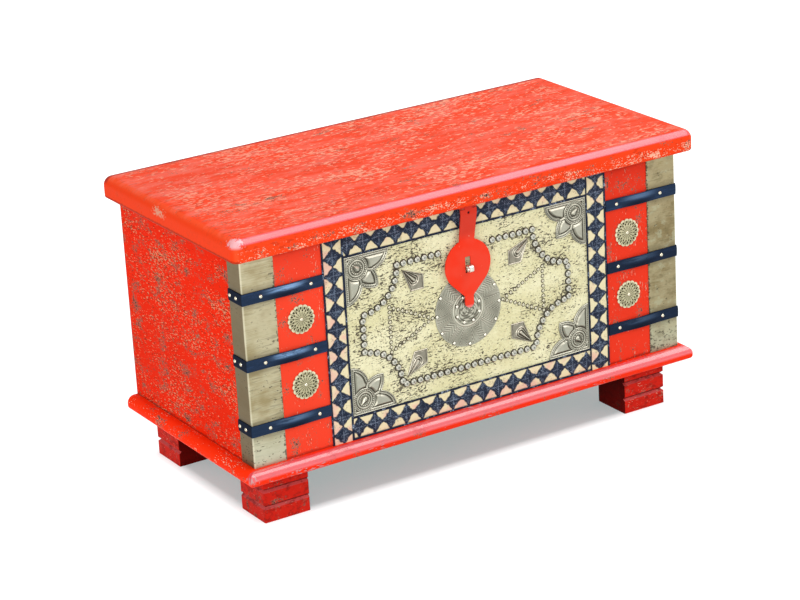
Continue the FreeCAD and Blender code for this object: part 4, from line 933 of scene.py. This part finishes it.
# %% [markdown]
# ## Carved border
# Each bar of the border is one strip of wood with a row of leafy diamonds, cut between two plain edge lines.
# The hollows between the diamonds are half-round petals that show the cream ground. A bar is one relief: its
# height and its colour are both formulas of the distance along the bar and across it.

# %% Carved border
EDGE_LINE = 2.8
PETAL_HALF = 12.3
PETAL_RISE = 13.7
PETAL_ROUND = 1.24
BAR_STEP = 0.55
BAR_FLOOR, BAR_DEPTH = 0.3, 2.0


def carved_relief(along, across, width, pitch, first, seed):
    """Height of the bar above its ground and the masks of its paint.

    Diamonds have their centres at first + n pitch. Midway between two of them, measured from an edge line,
    a petal is where (along / half) ** p + (inward / rise) ** p < 1.
    """
    along = along + 0.7 * ripple(along, across, 14.0, seed)
    across = across + 0.5 * ripple(along, across, 11.0, seed + 1)
    inward = np.minimum(across, width - across) - EDGE_LINE
    beside = off_step(along - first - pitch / 2, pitch)
    centre = off_step(along - first, pitch)
    middle = np.abs(across - width / 2)
    reach = (beside / PETAL_HALF) ** PETAL_ROUND + (np.clip(inward, 0, None) / PETAL_RISE) ** PETAL_ROUND
    petal = 1 - reach + 0.14 * ripple(along, across, 4.0, seed + 2)
    cream = smooth(petal / 0.16) * smooth(inward / 0.6)
    leafy = 1 - centre / (pitch / 2) - middle / (width / 2 - EDGE_LINE)
    between_leaves = ridge(centre - middle, 1.5) * smooth(leafy / 0.15)
    stems = np.maximum(ridge(centre, 0.9), ridge(middle, 0.9)) * smooth((leafy - 0.08) / 0.1)
    barbs = ridge((centre + middle) % 3.6 - 1.8, 0.9) * smooth(leafy / 0.2)
    veins = np.clip(stems + 0.7 * barbs * (1 - between_leaves), 0, 1)
    line = smooth(-inward / 0.8)
    groove = ridge(inward - 0.4, 0.9)
    height = 1.2 + 0.6 * smooth(leafy / 0.5) * (1 - cream) - 0.4 * between_leaves - 0.25 * veins
    height = height * (1 - cream) + cream * (0.9 + 0.35 * smooth(petal))
    height = height * (1 - line) + line * (1.7 + 0.25 * smooth(-inward / 2.0)) - 0.5 * groove
    masks = {"cream": cream, "vein": veins * (1 - cream) * (1 - line), "line": line}
    return np.clip(height, BAR_FLOOR, BAR_DEPTH), masks


def relief_piece(node, front, finish, numbers, flip):
    """Closes a front grid: its rim is carried straight back to the panel and covered by one flat face."""
    rows, columns = front.shape[:2]
    index = np.arange(rows * columns).reshape(rows, columns)
    rim = np.concatenate([index[0, :-1], index[:-1, -1], index[-1, :0:-1], index[:0:-1, 0]])
    points = front.reshape(-1, 3)
    back = points[rim].copy()
    back[:, 1] = FRONT
    behind = np.arange(len(rim)) + len(points)
    walls = np.stack([rim, behind, np.roll(behind, -1), np.roll(rim, -1)], axis=-1)
    quads = np.concatenate([grid_quads(rows, columns), walls])[:, ::-1]
    values = {key: np.concatenate([value.ravel(), value.ravel()[rim]]) for key, value in numbers.items()}
    points = np.concatenate([points, back])
    return make_piece(node + "_carved", points, quads, [behind], finish, "chest", [node], values, flip)


def carved_bar(node, upright, pitch, first, finish, seed):
    """A carved bar in the place of a CAD bar."""
    low, high = box_mm(node)
    length_axis, width_axis = (2, 0) if upright else (0, 2)
    length, width = high[length_axis] - low[length_axis], high[width_axis] - low[width_axis]
    ways = [np.linspace(0, size, int(size / BAR_STEP)) for size in (length, width)]
    along, across = np.meshgrid(*ways, indexing="ij")
    height, masks = carved_relief(along + low[length_axis], across, width, pitch, first, seed)
    front = np.zeros((*along.shape, 3))
    front[..., length_axis] = along + low[length_axis]
    front[..., width_axis] = across + low[width_axis]
    front[..., 1] = FRONT - height
    return relief_piece(node, front, finish, masks, flip=upright)


print("carving tools ready; petals", 2 * PETAL_HALF, "mm wide")

# %% [markdown]
# ## Border paint
# The wood that stands up is navy, worn to grey blue on the veins and the edge lines. The petals are cream,
# some of them gone peach, with dark smudges. The relief's own masks say which is which, so paint and carving
# can't drift apart.

# %% Border paint
PETAL_CREAM, PETAL_PEACH, PETAL_SMUDGE = (0.78, 0.70, 0.44), (0.78, 0.50, 0.38), (0.26, 0.22, 0.15)
BORDER_NAVY, BORDER_WORN = (0.007, 0.013, 0.032), (0.05, 0.075, 0.125)
VEIN_WORN, STROKE, LINE_SPOT = (0.19, 0.235, 0.32), (0.20, 0.26, 0.35), (0.33, 0.42, 0.55)


def border_paint():
    """Navy on the wood that stands up, cream to peach in the petals."""
    finish = Finish("border_paint")
    x, _, z = finish.axes()
    cream, vein, line = [finish.attribute(name) for name in ("cream", "vein", "line")]
    rub = finish.noise(120, 4, 0.65)
    grit = finish.noise(700)
    tint = finish.noise(34)
    strokes = finish.noise(330, 2, 0.6)
    peach = (tint + z.rise(0.128, 0.118) * 0.12 + x.rise(-0.229, -0.233) * 0.20).rise(0.56, 0.78)
    smudge = (rub + (grit - 0.5) * 0.6).rise(0.57, 0.72)
    petal = finish.coats(PETAL_CREAM, (peach, PETAL_PEACH), (smudge * 0.55, PETAL_SMUDGE))
    navy = finish.coats(
        BORDER_NAVY,
        ((rub + (grit - 0.5) * 0.4).rise(0.54, 0.72) * 0.6, BORDER_WORN),
        (vein * rub.rise(0.34, 0.56) * 0.70, VEIN_WORN),
        ((strokes + (rub - 0.5) * 0.4).rise(0.59, 0.66) * (1.0 - line) * 0.62, STROKE),
        ((rub + (grit - 0.5) * 0.5).rise(0.60, 0.68) * line * 0.8, LINE_SPOT))
    return finish.set(base_color=finish.mix(cream, navy, petal), roughness=0.4 + cream * 0.1,
                      specular_ior_level=0.12, normal=finish.bump(rub + grit * 0.5, 0.0003))


carved_finish = border_paint()
carved_bar("carved_left_stile", True, 27.3, 109.5, carved_finish, 11)
carved_bar("carved_right_stile", True, 27.3, 107.2, carved_finish, 21)
carved_bar("carved_top_rail", False, 27.18, -178.0, carved_finish, 31)
carved_bar("carved_bottom_rail", False, 27.17, -67.2, carved_finish, 41)
print("four carved bars")

# %% [markdown]
# ## Stamped plates
# The plates were struck from thin metal over a die: a raised rim with a row of beads, then rings, drops and
# leaves. A plate's outline is shrunk towards a heart point to give a grid, and each motif is a distance: to a
# ring, to a drop that tapers along its axis, or to the edge of the plate. Ridges on those distances give the
# relief.

# %% Motifs
BEAD_PITCH, BEAD_RADIUS = 3.1, 1.3


def edge_distance(places, outline):
    """Distance from each place to a closed outline, and how far along the outline its nearest point lies."""
    starts, ends = outline, np.roll(outline, -1, axis=0)
    runs = ends - starts
    lengths = np.maximum(np.hypot(*runs.T), 1e-9)
    before = np.concatenate([[0], np.cumsum(lengths)[:-1]])
    flat = places.reshape(-1, 2)
    best, travel = np.full(len(flat), np.inf), np.zeros(len(flat))
    for start, run, length, done in zip(starts, runs, lengths, before):
        share = np.clip(((flat - start) @ run) / length ** 2, 0, 1)
        gap = np.hypot(*(flat - start - share[:, None] * run).T)
        closer = gap < best
        best, travel = np.where(closer, gap, best), np.where(closer, done + share * length, travel)
    return best.reshape(places.shape[:-1]), travel.reshape(places.shape[:-1])


def beads(distance, travel, line):
    """Round beads on a line at a set distance from an edge."""
    return smooth(1 - np.hypot(distance - line, off_step(travel, BEAD_PITCH)) / BEAD_RADIUS)


def drop_distance(places, head, tail, head_radius, tail_radius):
    """Distance to a drop, a disc whose radius shrinks from its head to its tail; negative inside."""
    run = np.subtract(tail, head)
    share = np.clip(((places - head) @ run) / (run @ run), 0, 1)
    gap = np.hypot(*np.moveaxis(places - head - share[..., None] * run, -1, 0))
    return gap - (head_radius + (tail_radius - head_radius) * share)


def arc(start, through, end, count):
    """Points on the circle through three points, from start up to end."""
    start, through, end = [complex(*point) for point in (start, through, end)]
    ratio = (end - start) / (through - start)
    centre = (through - start) * (ratio - abs(ratio) ** 2) / (2j * ratio.imag) + start
    turn = np.angle((end - centre) / (through - centre)) + np.angle((through - centre) / (start - centre))
    points = centre + (start - centre) * np.exp(1j * turn * np.linspace(0, 1, count, endpoint=False))
    return np.stack([points.real, points.imag], axis=-1)


def run_of(start, end, count):
    """Points on a straight line, without its end."""
    return np.linspace(start, end, count, endpoint=False)


print("motifs: edges, beads, drops, arcs and runs; a bead every", BEAD_PITCH, "mm")

# %% [markdown]
# ## Laying a plate
# A stamped plate is laid on the front with its rim carried back to the panel. The slopes of a relief that
# look up get a painted highlight and the slopes that look down get painted shade, so the slope is taken off
# the hollow.

# %% Laying a plate
PLATE_RINGS = 120
HEART_SHARE = 0.015
SLOPE_LIGHT = 0.5


def stamp(outline, heart, motif):
    """Rings of places from the heart to the outline, with the motif's height in mm and hollow."""
    shares = np.linspace(HEART_SHARE, 1.0, PLATE_RINGS)[:, None, None]
    places = np.asarray(heart) + shares * (outline - heart)
    gap, travel = edge_distance(places, outline)
    return places, *motif(places, gap, travel)


def looks_up(flat, height):
    """Slope of a relief over rings of places (x, z): above 0 where it looks up, below 0 where down."""
    def steps(values):
        return np.gradient(values, axis=0), (np.roll(values, -1, axis=1) - np.roll(values, 1, axis=1)) / 2
    x_out, x_round = steps(flat[..., 0])
    z_out, z_round = steps(flat[..., 1])
    out, around = steps(height)
    area = x_out * z_round - x_round * z_out
    return (x_round * out - x_out * around) / np.where(np.abs(area) < 1e-6, 1e-6, area)


def lay_plate(node, stamped, origin, finish, along=(1.0, 0.0), across=(0.0, 1.0)):
    """Lays a stamped plate on the front: origin, along and across are (x, z)."""
    places, height, hollow = stamped
    flat = np.asarray(origin) + places[..., :1] * np.asarray(along) + places[..., 1:] * np.asarray(across)
    # painted light: slopes that look up are lightened and slopes that look down darkened
    hollow = np.clip(hollow - SLOPE_LIGHT * np.clip(looks_up(flat, height), -1, 1), 0, 1)
    front = np.stack([flat[..., 0], FRONT - height, flat[..., 1]], axis=-1)
    back = front[-1:].copy()
    back[..., 1] = FRONT
    front = np.concatenate([front, back])
    quads, caps = tube_faces(*front.shape[:2])
    hollows_and_slope_light = np.concatenate([hollow.ravel(), hollow[-1]])
    turned = along[0] * across[1] - along[1] * across[0] > 0
    return make_piece(node + "_stamped", front.reshape(-1, 3), quads, caps, finish, "chest", [node],
                      {"hollow": hollows_and_slope_light}, flip=turned)


print("plates have", PLATE_RINGS, "rings")

# %% [markdown]
# ## Corner plates
# A corner plate has a ringed eye with a drop in it, and three leaves that spread from the eye: one along each
# edge and one on the diagonal. All four came from one die, so the stamp is worked out once and laid four
# times.

# %% Corner plates
CORNER_LEG = 75.0
EYE = 20.5
INNER_BEADS, EYE_BAND, OUTER_BEADS, LEAF_START = 8.2, 12.0, 15.4, 19.4
LEAF_EDGE, LEAF_NOTCH, LEAF_SIDE, LEAF_TIP = [
    np.array(share) * CORNER_LEG for share in ((0.91, 0.23), (0.67, 0.385), (0.735, 0.56), (0.73, 0.73))]
CORNER_HEART = (28.0, 28.0)


def corner_outline():
    """Two straight legs and four arcs: the tips of the leaves with a notch between them."""
    leg = CORNER_LEG
    return np.concatenate([
        run_of((0.0, 0.0), (leg, 0.0), 105),
        arc((leg, 0.0), LEAF_EDGE, LEAF_NOTCH, 66), arc(LEAF_NOTCH, LEAF_SIDE, LEAF_TIP, 36),
        arc(LEAF_TIP, LEAF_SIDE[::-1], LEAF_NOTCH[::-1], 36),
        arc(LEAF_NOTCH[::-1], LEAF_EDGE[::-1], (0.0, leg), 66),
        run_of((0.0, leg), (0.0, 0.0), 105)])


def corner_motif(places, gap, travel):
    """Height and hollow of a corner plate: rim line, beads, ringed eye with its drop, three leaves."""
    from_eye = np.hypot(places[..., 0] - EYE, places[..., 1] - EYE)
    round_eye = np.arctan2(places[..., 1] - EYE, places[..., 0] - EYE)
    cuts = [drop_distance(places, (EYE, EYE), notch, 0.0, 0.0) - 2.3
            for notch in (LEAF_NOTCH, LEAF_NOTCH[::-1])]
    leaf = np.minimum.reduce([gap - 6.0, from_eye - LEAF_START, *cuts])
    drop = drop_distance(places, (EYE + 1.2, EYE + 1.2), (EYE - 6.2, EYE - 6.2), 4.6, 0.7)
    from_band = from_eye - EYE_BAND
    lines = highest(ridge(gap - 1.0, 1.0), ridge(leaf + 1.6, 0.9), ridge(from_band, 1.7))
    eye_dots = [beads(from_eye, round_eye * ring, ring) for ring in (OUTER_BEADS, INNER_BEADS)]
    dots = highest(beads(gap, travel, 3.0), *eye_dots)
    pillow = np.maximum(smooth(leaf / 3.6), smooth(-drop / 3.2))
    groove = highest(ridge(leaf, 0.9), ridge(drop - 0.7, 0.9), ridge(from_band - 2.0, 0.7),
                     ridge(from_band + 2.1, 0.7), ridge(gap - 2.1, 0.5))
    height = 1.0 + 0.7 * lines + 0.8 * dots + 2.0 * pillow - 0.4 * groove
    hollow = 0.68 - 0.55 * lines - 0.80 * dots - 0.42 * pillow + 0.45 * groove
    return height, np.clip(hollow, 0, 1)


corner_stamp = stamp(corner_outline(), CORNER_HEART, corner_motif)
print("corner plate stamp,", corner_stamp[1].size, "points")

# %% [markdown]
# ## Drop plates
# A drop plate is a kite with one long drop and two lines round it. It is dented here and there. The corner
# plates and the drop plates sit in the four corners of the panel, mirrored where the corner asks for it.

# %% Drop plates
DROP_HEAD = 29.0
DROP_LENGTH, DROP_SHOULDER, DROP_HALF_WIDTH = 53.0, 37.0, 16.0
DROP_HEART = (DROP_SHOULDER - 3.0, 0.0)
DROP_TIP_X, DROP_TIP_Z = 112.0, {"top": 338.0, "bottom": 169.5}
CORNER_GAP = 0.5


def drop_outline():
    """A kite: the tip, two shoulders and a blunt end."""
    corners = [(0.0, 0.0), (DROP_SHOULDER, -DROP_HALF_WIDTH), (DROP_LENGTH, 0.0),
               (DROP_SHOULDER, DROP_HALF_WIDTH)]
    counts = (68, 38, 38, 68)
    sides = zip(corners, corners[1:] + corners[:1], counts)
    return np.concatenate([run_of(start, end, count) for start, end, count in sides])


def drop_motif(places, gap, _):
    """Height and hollow of a drop plate: a rim line, and a drop with two lines round it that meet at the tip.

    Ahead of its head the distance across is divided by along / DROP_HEAD, so the lines close in on the tip.
    """
    along, across = places[..., 0], np.abs(places[..., 1])
    taper = np.clip(along / DROP_HEAD, 0.04, 1.0)
    ring = np.where(along < DROP_HEAD, across / taper, np.hypot(along - DROP_HEAD, across))
    lines = highest(ridge(gap - 0.9, 0.9), ridge(ring - 5.0, 1.3), ridge(ring - 8.4, 1.4))
    groove = highest(ridge(ring - 3.4, 0.9), ridge(ring - 6.7, 1.0), ridge(gap - 2.2, 0.6))
    pillow = smooth((3.2 - ring) / 2.2)
    dents = ripple(along, places[..., 1], 5.0, 51)
    height = 1.0 + 0.8 * lines + 2.2 * pillow - 0.4 * groove + 0.2 * dents
    hollow = 0.48 - 0.50 * lines - 0.45 * pillow + 0.5 * groove - 0.22 * dents
    return height, np.clip(hollow, 0, 1)


drop_stamp = stamp(drop_outline(), DROP_HEART, drop_motif)
field_x = abs(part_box("carved_left_stile")[1].x) / MM - CORNER_GAP
field_z = {"top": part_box("carved_top_rail")[0].z / MM - CORNER_GAP,
           "bottom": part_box("carved_bottom_rail")[1].z / MM + CORNER_GAP}
half = math.sqrt(0.5)
for side, sign in (("left", -1.0), ("right", 1.0)):
    for level, rise in (("top", -1.0), ("bottom", 1.0)):
        corner = (sign * field_x, field_z[level])
        lay_plate(f"corner_plate_{level}_{side}", corner_stamp, corner, corner_finish,
                  (-sign, 0.0), (0.0, rise))
        tip = (PLATE_X / MM + sign * DROP_TIP_X, DROP_TIP_Z[level])
        lay_plate(f"drop_plate_{level}_{side}", drop_stamp, tip, drop_finish,
                  (-sign * half, rise * half), (sign * half, rise * half))
print("four corner plates and four drop plates")

# %% [markdown]
# ## Round plate
# The round plate behind the hasp's tip is thin metal, stamped with a wreath of fern barbs outside a ring and
# with scrolls inside it. A barb leans outwards from the middle of its sector, and a slow wave makes the rows
# uneven.

# %% Round plate
FERN_COUNT = 15
RING_RADIUS, WREATH_EDGE = 26.0, 57.5
BARB_PITCH, BARB_WIDTH, BARB_LEAN = 3.5, 1.45, 1.3
ROUND_STEPS, ROUND_RINGS = 432, 120


def polar_grid(inner, outer, rings, steps):
    """Radii and angles of points on rings."""
    radii, angles = np.linspace(inner, outer, rings), np.linspace(0, 2 * np.pi, steps, endpoint=False)
    return np.meshgrid(radii, angles, indexing="ij")


def polar_places(radius, angle):
    """Flat places from radii and angles."""
    return np.stack([radius * np.cos(angle), radius * np.sin(angle)], axis=-1)


def round_motif(radius, angle):
    """Height and hollow of the round plate; barbs are lines of radius - lean * distance to mid sector."""
    beside = off_step(angle, 2 * np.pi / FERN_COUNT) * radius
    wreath = smooth((radius - RING_RADIUS - 2.5) / 1.5) * smooth((WREATH_EDGE - radius) / 2.0)
    wave = 1.6 * np.sin(5 * angle + 0.1 * radius) + 1.2 * np.sin(11 * angle + 1.0)
    worn = 0.72 + 0.28 * np.sin(4 * angle + 0.12 * radius)
    barbs = ridge((radius - BARB_LEAN * beside + wave) % BARB_PITCH - BARB_PITCH / 2, BARB_WIDTH) * worn
    scroll = np.sin(5 * angle + 1.6 * np.sin(0.5 * radius)) * np.sin(0.95 * radius + 1.5 * np.sin(3 * angle))
    inner = smooth((RING_RADIUS - 2.6 - radius) / 1.0)
    ring = ridge(radius - RING_RADIUS, 1.2)
    groove = np.maximum(ridge(radius - RING_RADIUS - 1.9, 0.8), ridge(radius - RING_RADIUS + 2.0, 0.9))
    raised = ring + wreath * barbs + inner * 0.7 * smooth((scroll + 0.2) / 0.6)
    height = 0.9 + 0.6 * raised - 0.3 * groove
    hollow = 0.40 + 0.40 * (wreath + inner) - 0.76 * raised + 0.3 * groove
    return height, np.clip(hollow, 0, 1)


round_grid = polar_grid(0.4, PLATE_RADIUS / MM, ROUND_RINGS, ROUND_STEPS)
round_stamp = (polar_places(*round_grid), *round_motif(*round_grid))
lay_plate("round_plate", round_stamp, (PLATE_X / MM, PLATE_Z / MM), plate_finish)
print("round plate,", ROUND_RINGS * ROUND_STEPS, "points")

# %% [markdown]
# ## Rosettes
# Each rosette is a shallow dome of pierced brass with sixteen lobes. The edge swings in and out with the
# angle. Each lobe has a drop-shaped piercing, a second row of small round ones sits between the lobes, and
# fine flutes run to the middle. A piercing is cut down almost to the board and filled with patina.

# %% Rosettes
LOBE_COUNT = 16
ROSETTE_RADIUS, LOBE_DEPTH = 22.0, 2.1
ROSETTE_STEPS, ROSETTE_RINGS = 288, 64
ROSETTE_TOP, ROSETTE_FLOOR = 2.9, 0.12


def rosette_motif(share, angle):
    """Radius, height and hollow of a rosette: share goes from 0 in the middle to 1 at the lobed edge."""
    turn = np.abs(np.cos(LOBE_COUNT / 2 * angle))
    radius = share * (ROSETTE_RADIUS - LOBE_DEPTH * (1 - turn ** 0.6))
    sector = 2 * np.pi / LOBE_COUNT
    beside, between = [off_step(angle - shift, sector) * radius for shift in (0.0, sector / 2)]
    places = np.stack([radius, beside], axis=-1)
    outer_hole = drop_distance(places, (17.3, 0.0), (15.6, 0.0), 1.35, 0.9)
    inner_hole = np.hypot(radius - 13.1, between) - 1.05
    pierced = smooth((0.35 - np.minimum(outer_hole, inner_hole)) / 0.5)
    dome = 1.2 + 1.2 * (1 - (radius / ROSETTE_RADIUS) ** 2)
    lobe = ridge(radius - 18.6, 4.2) * turn
    fluted = smooth((radius - 3.5) / 1.5) * smooth((13.0 - radius) / 4.0)
    flutes = (0.5 + 0.5 * np.cos(LOBE_COUNT * angle + np.pi)) * fluted
    height = np.minimum(dome + 0.55 * lobe - 0.3 * flutes, ROSETTE_TOP)
    height = height * (1 - pierced) + ROSETTE_FLOOR * pierced
    valley = smooth((radius - 13.0) / 2.0) * (1 - turn) ** 2
    scallop = ridge(share - 0.965, 0.05)
    hub = smooth((radius - 2.6) / 0.8) * smooth((4.4 - radius) / 0.8)
    hollow = 0.32 + 0.52 * flutes - 0.2 * lobe - 0.5 * scallop + 0.6 * valley + 0.4 * hub + pierced
    return radius, height, np.clip(hollow, 0, 1)


lobe_share, lobe_angle = polar_grid(0.03, 1.0, ROSETTE_RINGS, ROSETTE_STEPS)
lobe_radius, *lobe_relief = rosette_motif(lobe_share, lobe_angle)
rosette_stamp = (polar_places(lobe_radius, lobe_angle), *lobe_relief)
for side in ("left", "right"):
    for level in ("lower", "upper"):
        node = f"rosette_{side}_{level}"
        low, high = box_mm(node)
        lay_plate(node, rosette_stamp, (low + high)[::2] / 2, rosette_finish)
print("four rosettes with", LOBE_COUNT, "lobes")

# %% [markdown]
# ## Straps
# A strap is a flat iron bar with a softly domed face, nailed on the front, bent round the brass corner and
# nailed again on the side. Between its two front nails it was never hammered quite flat, so it bows out a
# little. The bar is a profile carried along a bent path.

# %% Straps
STRAP_THICKNESS = 2.0
STRAP_CROWN = 0.55
STRAP_BOW = 1.9
STRAP_EDGE_ROUND = 0.5
STRAP_NAILS = (268.0, 350.0)
FACE_POINTS = 15
FRONT_POINTS, TURN_POINTS, SIDE_POINTS = 70, 9, 16


def strap_profile(height):
    """Points (out, up) round the bar: a flat back, rounded corners and a face that rises to a crown."""
    half = height / 2
    up = np.linspace(-1, 1, FACE_POINTS)
    face = STRAP_THICKNESS - STRAP_CROWN * np.abs(up) ** 2.5
    face = np.stack([face, up * (half - 0.15)], axis=-1)
    corner = STRAP_THICKNESS - STRAP_CROWN - STRAP_EDGE_ROUND
    return np.concatenate([[(0.0, -half)], [(corner, -half)], face, [(corner, half)], [(0.0, half)]])


def strap_path(front_end, corner_x, corner_y, side_end):
    """Points (x, y), the outward way at each, and the bow: front, corner, then side."""
    along = np.linspace(front_end, corner_x - 0.01, FRONT_POINTS)
    turn = np.linspace(0, np.pi / 2, TURN_POINTS)
    back = np.linspace(corner_y + 0.01, side_end, SIDE_POINTS)
    points = np.concatenate([np.stack([along, np.full(FRONT_POINTS, corner_y)], axis=-1),
                             np.tile((corner_x, corner_y), (TURN_POINTS, 1)),
                             np.stack([np.full(SIDE_POINTS, corner_x), back], axis=-1)])
    ways = np.concatenate([np.tile((0.0, -1.0), (FRONT_POINTS, 1)),
                           np.stack([np.sin(turn), -np.cos(turn)], axis=-1),
                           np.tile((1.0, 0.0), (SIDE_POINTS, 1))])
    share = np.clip((points[:, 0] - STRAP_NAILS[0]) / (STRAP_NAILS[1] - STRAP_NAILS[0]), 0, 1)
    bow = STRAP_BOW * np.sin(np.pi * share) ** 2 * (ways[:, 1] == -1.0)
    return points, ways, bow


def strap(node, sign):
    """Each path point carries the whole profile; the two ends are closed."""
    low, high = box_mm(node)
    inner, outer = sorted((abs(low[0]), abs(high[0])))
    points, ways, bow = strap_path(inner, outer - STRAP_THICKNESS, low[1] + STRAP_THICKNESS, high[1])
    profile = strap_profile(high[2] - low[2])
    out = profile[None, :, 0] + bow[:, None]
    across = points[:, None, :] + ways[:, None, :] * out[..., None]
    level = np.broadcast_to(profile[None, :, 1] + (low[2] + high[2]) / 2, out.shape)
    places = np.stack([sign * across[..., 0], across[..., 1], level], axis=-1)
    quads, caps = tube_faces(*out.shape)
    return make_piece(node + "_bent", places.reshape(-1, 3), quads, caps, strap_finish, "chest",
                      [node], flip=sign > 0)


for side, sign in (("left", -1.0), ("right", 1.0)):
    for level in ("bottom", "middle", "top"):
        strap(f"strap_{side}_{level}", sign)
print("six straps")

# %% [markdown]
# ## Studs and small nails
# The large studs follow a cartouche, and the small nails draw two bow ties and ring the round plate. The CAD
# groups hold their places: the point of each head that stands furthest to the front. Every head is one short
# profile, spun round. A stud is a dome with a dimple, a nail is a plain dome, and both sit in a ring of dark
# wax.

# %% Studs and small nails
HEAD_SEGMENTS = 12
# Each ring is (radius, height, hollow) in shares of the head. The ring at the foot is dark wax, and the
# darker flank of a stud's dome is painted shade.
STUD_PROFILE = ((1.12, 0.0, 1.0), (1.0, 0.04, 1.0), (0.97, 0.30, 0.85), (0.82, 0.60, 0.35), (0.58, 0.86, 0.0),
                (0.34, 0.88, 0.20), (0.14, 0.84, 0.50))
NAIL_PROFILE = ((1.36, 0.0, 1.0), (1.02, 0.05, 1.0), (0.94, 0.42, 0.45), (0.66, 0.78, 0.0), (0.25, 0.98, 0.0))


def head_tops(node):
    """The tops (x, y, z) in mm of the heads in a CAD group."""
    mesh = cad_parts[node].data
    points = np.empty(3 * len(mesh.vertices), np.float32)
    mesh.vertices.foreach_get("co", points)
    points = points.reshape(-1, 3) / MM
    return np.unique(points[points[:, 1] < points[:, 1].min() + 0.02].round(1), axis=0)


def heads(node, profile, radius, height, finish):
    """The profile's rings (radius, height, hollow) spun round the way to the front under every top."""
    profile = np.array(profile)
    angle = np.linspace(0, 2 * np.pi, HEAD_SEGMENTS, endpoint=False)
    ring_x, ring_z = [radius * profile[:, :1] * wave for wave in (np.cos(angle), np.sin(angle))]
    ring_y = np.broadcast_to(height * (1 - profile[:, 1:2]), ring_x.shape)
    one = np.stack([ring_x, ring_y, ring_z], axis=-1).reshape(-1, 3)
    tops = head_tops(node)
    starts = np.arange(len(tops)) * len(one)
    head_quads, head_caps = tube_faces(len(profile), HEAD_SEGMENTS)
    quads = (head_quads + starts[:, None, None]).reshape(-1, 4)
    caps = [cap + start for start in starts for cap in head_caps[::-1]]
    hollow = np.tile(np.repeat(profile[:, 2], HEAD_SEGMENTS), len(tops))
    make_piece(node + "_domed", (one + tops[:, None, :]).reshape(-1, 3), quads, caps, finish, "chest",
               [node], {"hollow": hollow})
    print(node, len(tops))


heads("cartouche_studs", STUD_PROFILE, 5.3, 3.6, stud_finish)
heads("bow_tie_nails", NAIL_PROFILE, 2.5, 1.6, bow_nail_finish)
heads("round_plate_nails", NAIL_PROFILE, 2.6, 1.8, round_nail_finish)

# %% [markdown]
# ## Hasp and hidden fittings
# The hasp is sheet metal under red enamel, rubbed at its tip, with a painted shade up its arm. The inside and
# the hidden fittings are bare wood and plain steel, so they need only streaks and cloudy stains.

# %% Hasp, bare wood and steel
HASP_RED, HASP_ARM_SHADE, HASP_TIP = (0.82, 0.050, 0.022), (0.46, 0.030, 0.016), (0.80, 0.30, 0.32)


def hasp_red():
    """Red enamel on sheet metal, with a painted shade up the arm, a few pale scratches and a rubbed tip."""
    finish = Finish("hasp_red_paint")
    z = finish.axes()[2]
    low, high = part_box("hasp")
    drift = finish.noise(24, 3)
    chips = finish.noise((170, 170, 90), 3, 0.6).rise(0.73, 0.76)
    colour = finish.coats(
        HASP_RED,
        (drift.rise(0.35, 0.65), RED),
        # painted shade up the arm
        ((high.z - z).rise(0.058, 0.040) * 0.5, HASP_ARM_SHADE),
        ((z - low.z).rise(0.005, 0.002) * 0.5, HASP_TIP),
        (chips * 0.7, FLECK))
    return finish.set(base_color=colour, roughness=0.30 + chips * 0.3, specular_ior_level=0.10,
                      normal=finish.bump(drift - chips * 0.3, 0.0004))


def bare_wood(name, grain):
    """Unpainted wood with its grain along one axis."""
    finish = Finish(name)
    streaks = finish.noise(along_grain(grain, 300.0, 10.0), 3)
    return finish.set(base_color=bare_wood_colour(finish, grain), roughness=0.6,
                      normal=finish.bump(streaks, 0.0003))


def plain_metal(name, bright, dull, roughness):
    """Metal with cloudy stains and fine grit."""
    finish = Finish(name)
    clouds = finish.noise(70, 4, 0.6)
    grit = finish.noise(800)
    return finish.set(base_color=finish.mix(clouds.rise(0.35, 0.65), dull, bright), metallic=1.0,
                      roughness=roughness + (grit - 0.5) * 0.3)


hasp_finish = hasp_red()
wood_finish = bare_wood("bare_wood", "x")
steel_finish = plain_metal("hinge_steel", (0.46, 0.44, 0.41), (0.26, 0.235, 0.21), 0.42)
staple_finish = plain_metal("staple_metal", (0.72, 0.70, 0.62), (0.50, 0.47, 0.40), 0.3)
print("hasp enamel, bare wood, steel and staple metal")

# %% [markdown]
# ## Finishes of the kept pieces
# The boards, the base, the feet, the brass corners, the hasp and all small hardware keep their CAD shape,
# which is already the real one. Each of them gets the finish of the real piece.

# %% Kept pieces
kept = {
    lid_paint: ["lid_board"],
    side_paint: ["left_side_board", "right_side_board"],
    front_paint: ["front_left_board"],
    front_right_paint: ["front_right_board"],
    back_paint: ["back_board"],
    base_paint: ["base_front_rail", "base_back_rail"],
    base_side_paint: ["base_left_rail", "base_right_rail"],
    foot_paint: ["foot_front_left", "foot_front_right", "foot_back_left", "foot_back_right"],
    cream_panel_paint: ["front_panel"],
    brass_finish: ["brass_corner_left", "brass_corner_right"],
    hasp_finish: ["hasp", "hasp_bracket"],
    wood_finish: ["bottom_board", "corner_dowels", "foot_dowels"],
    nail_finish: ["strap_nails", "rosette_nails"],
    staple_finish: ["staple"],
    steel_finish: ["hinge_left_lid_leaf", "hinge_right_lid_leaf", "hinge_left_box_leaf",
                   "hinge_right_box_leaf", "hinge_pins", "hinge_lid_screws", "hinge_box_screws", "hasp_pin",
                   "hasp_bracket_screws"],
}
for finish, nodes in kept.items():
    for node in nodes:
        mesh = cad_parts[node].data
        mesh.materials.clear()
        mesh.materials.append(finish)
print("finished", sum(len(nodes) for nodes in kept.values()), "kept pieces")

# %% [markdown]
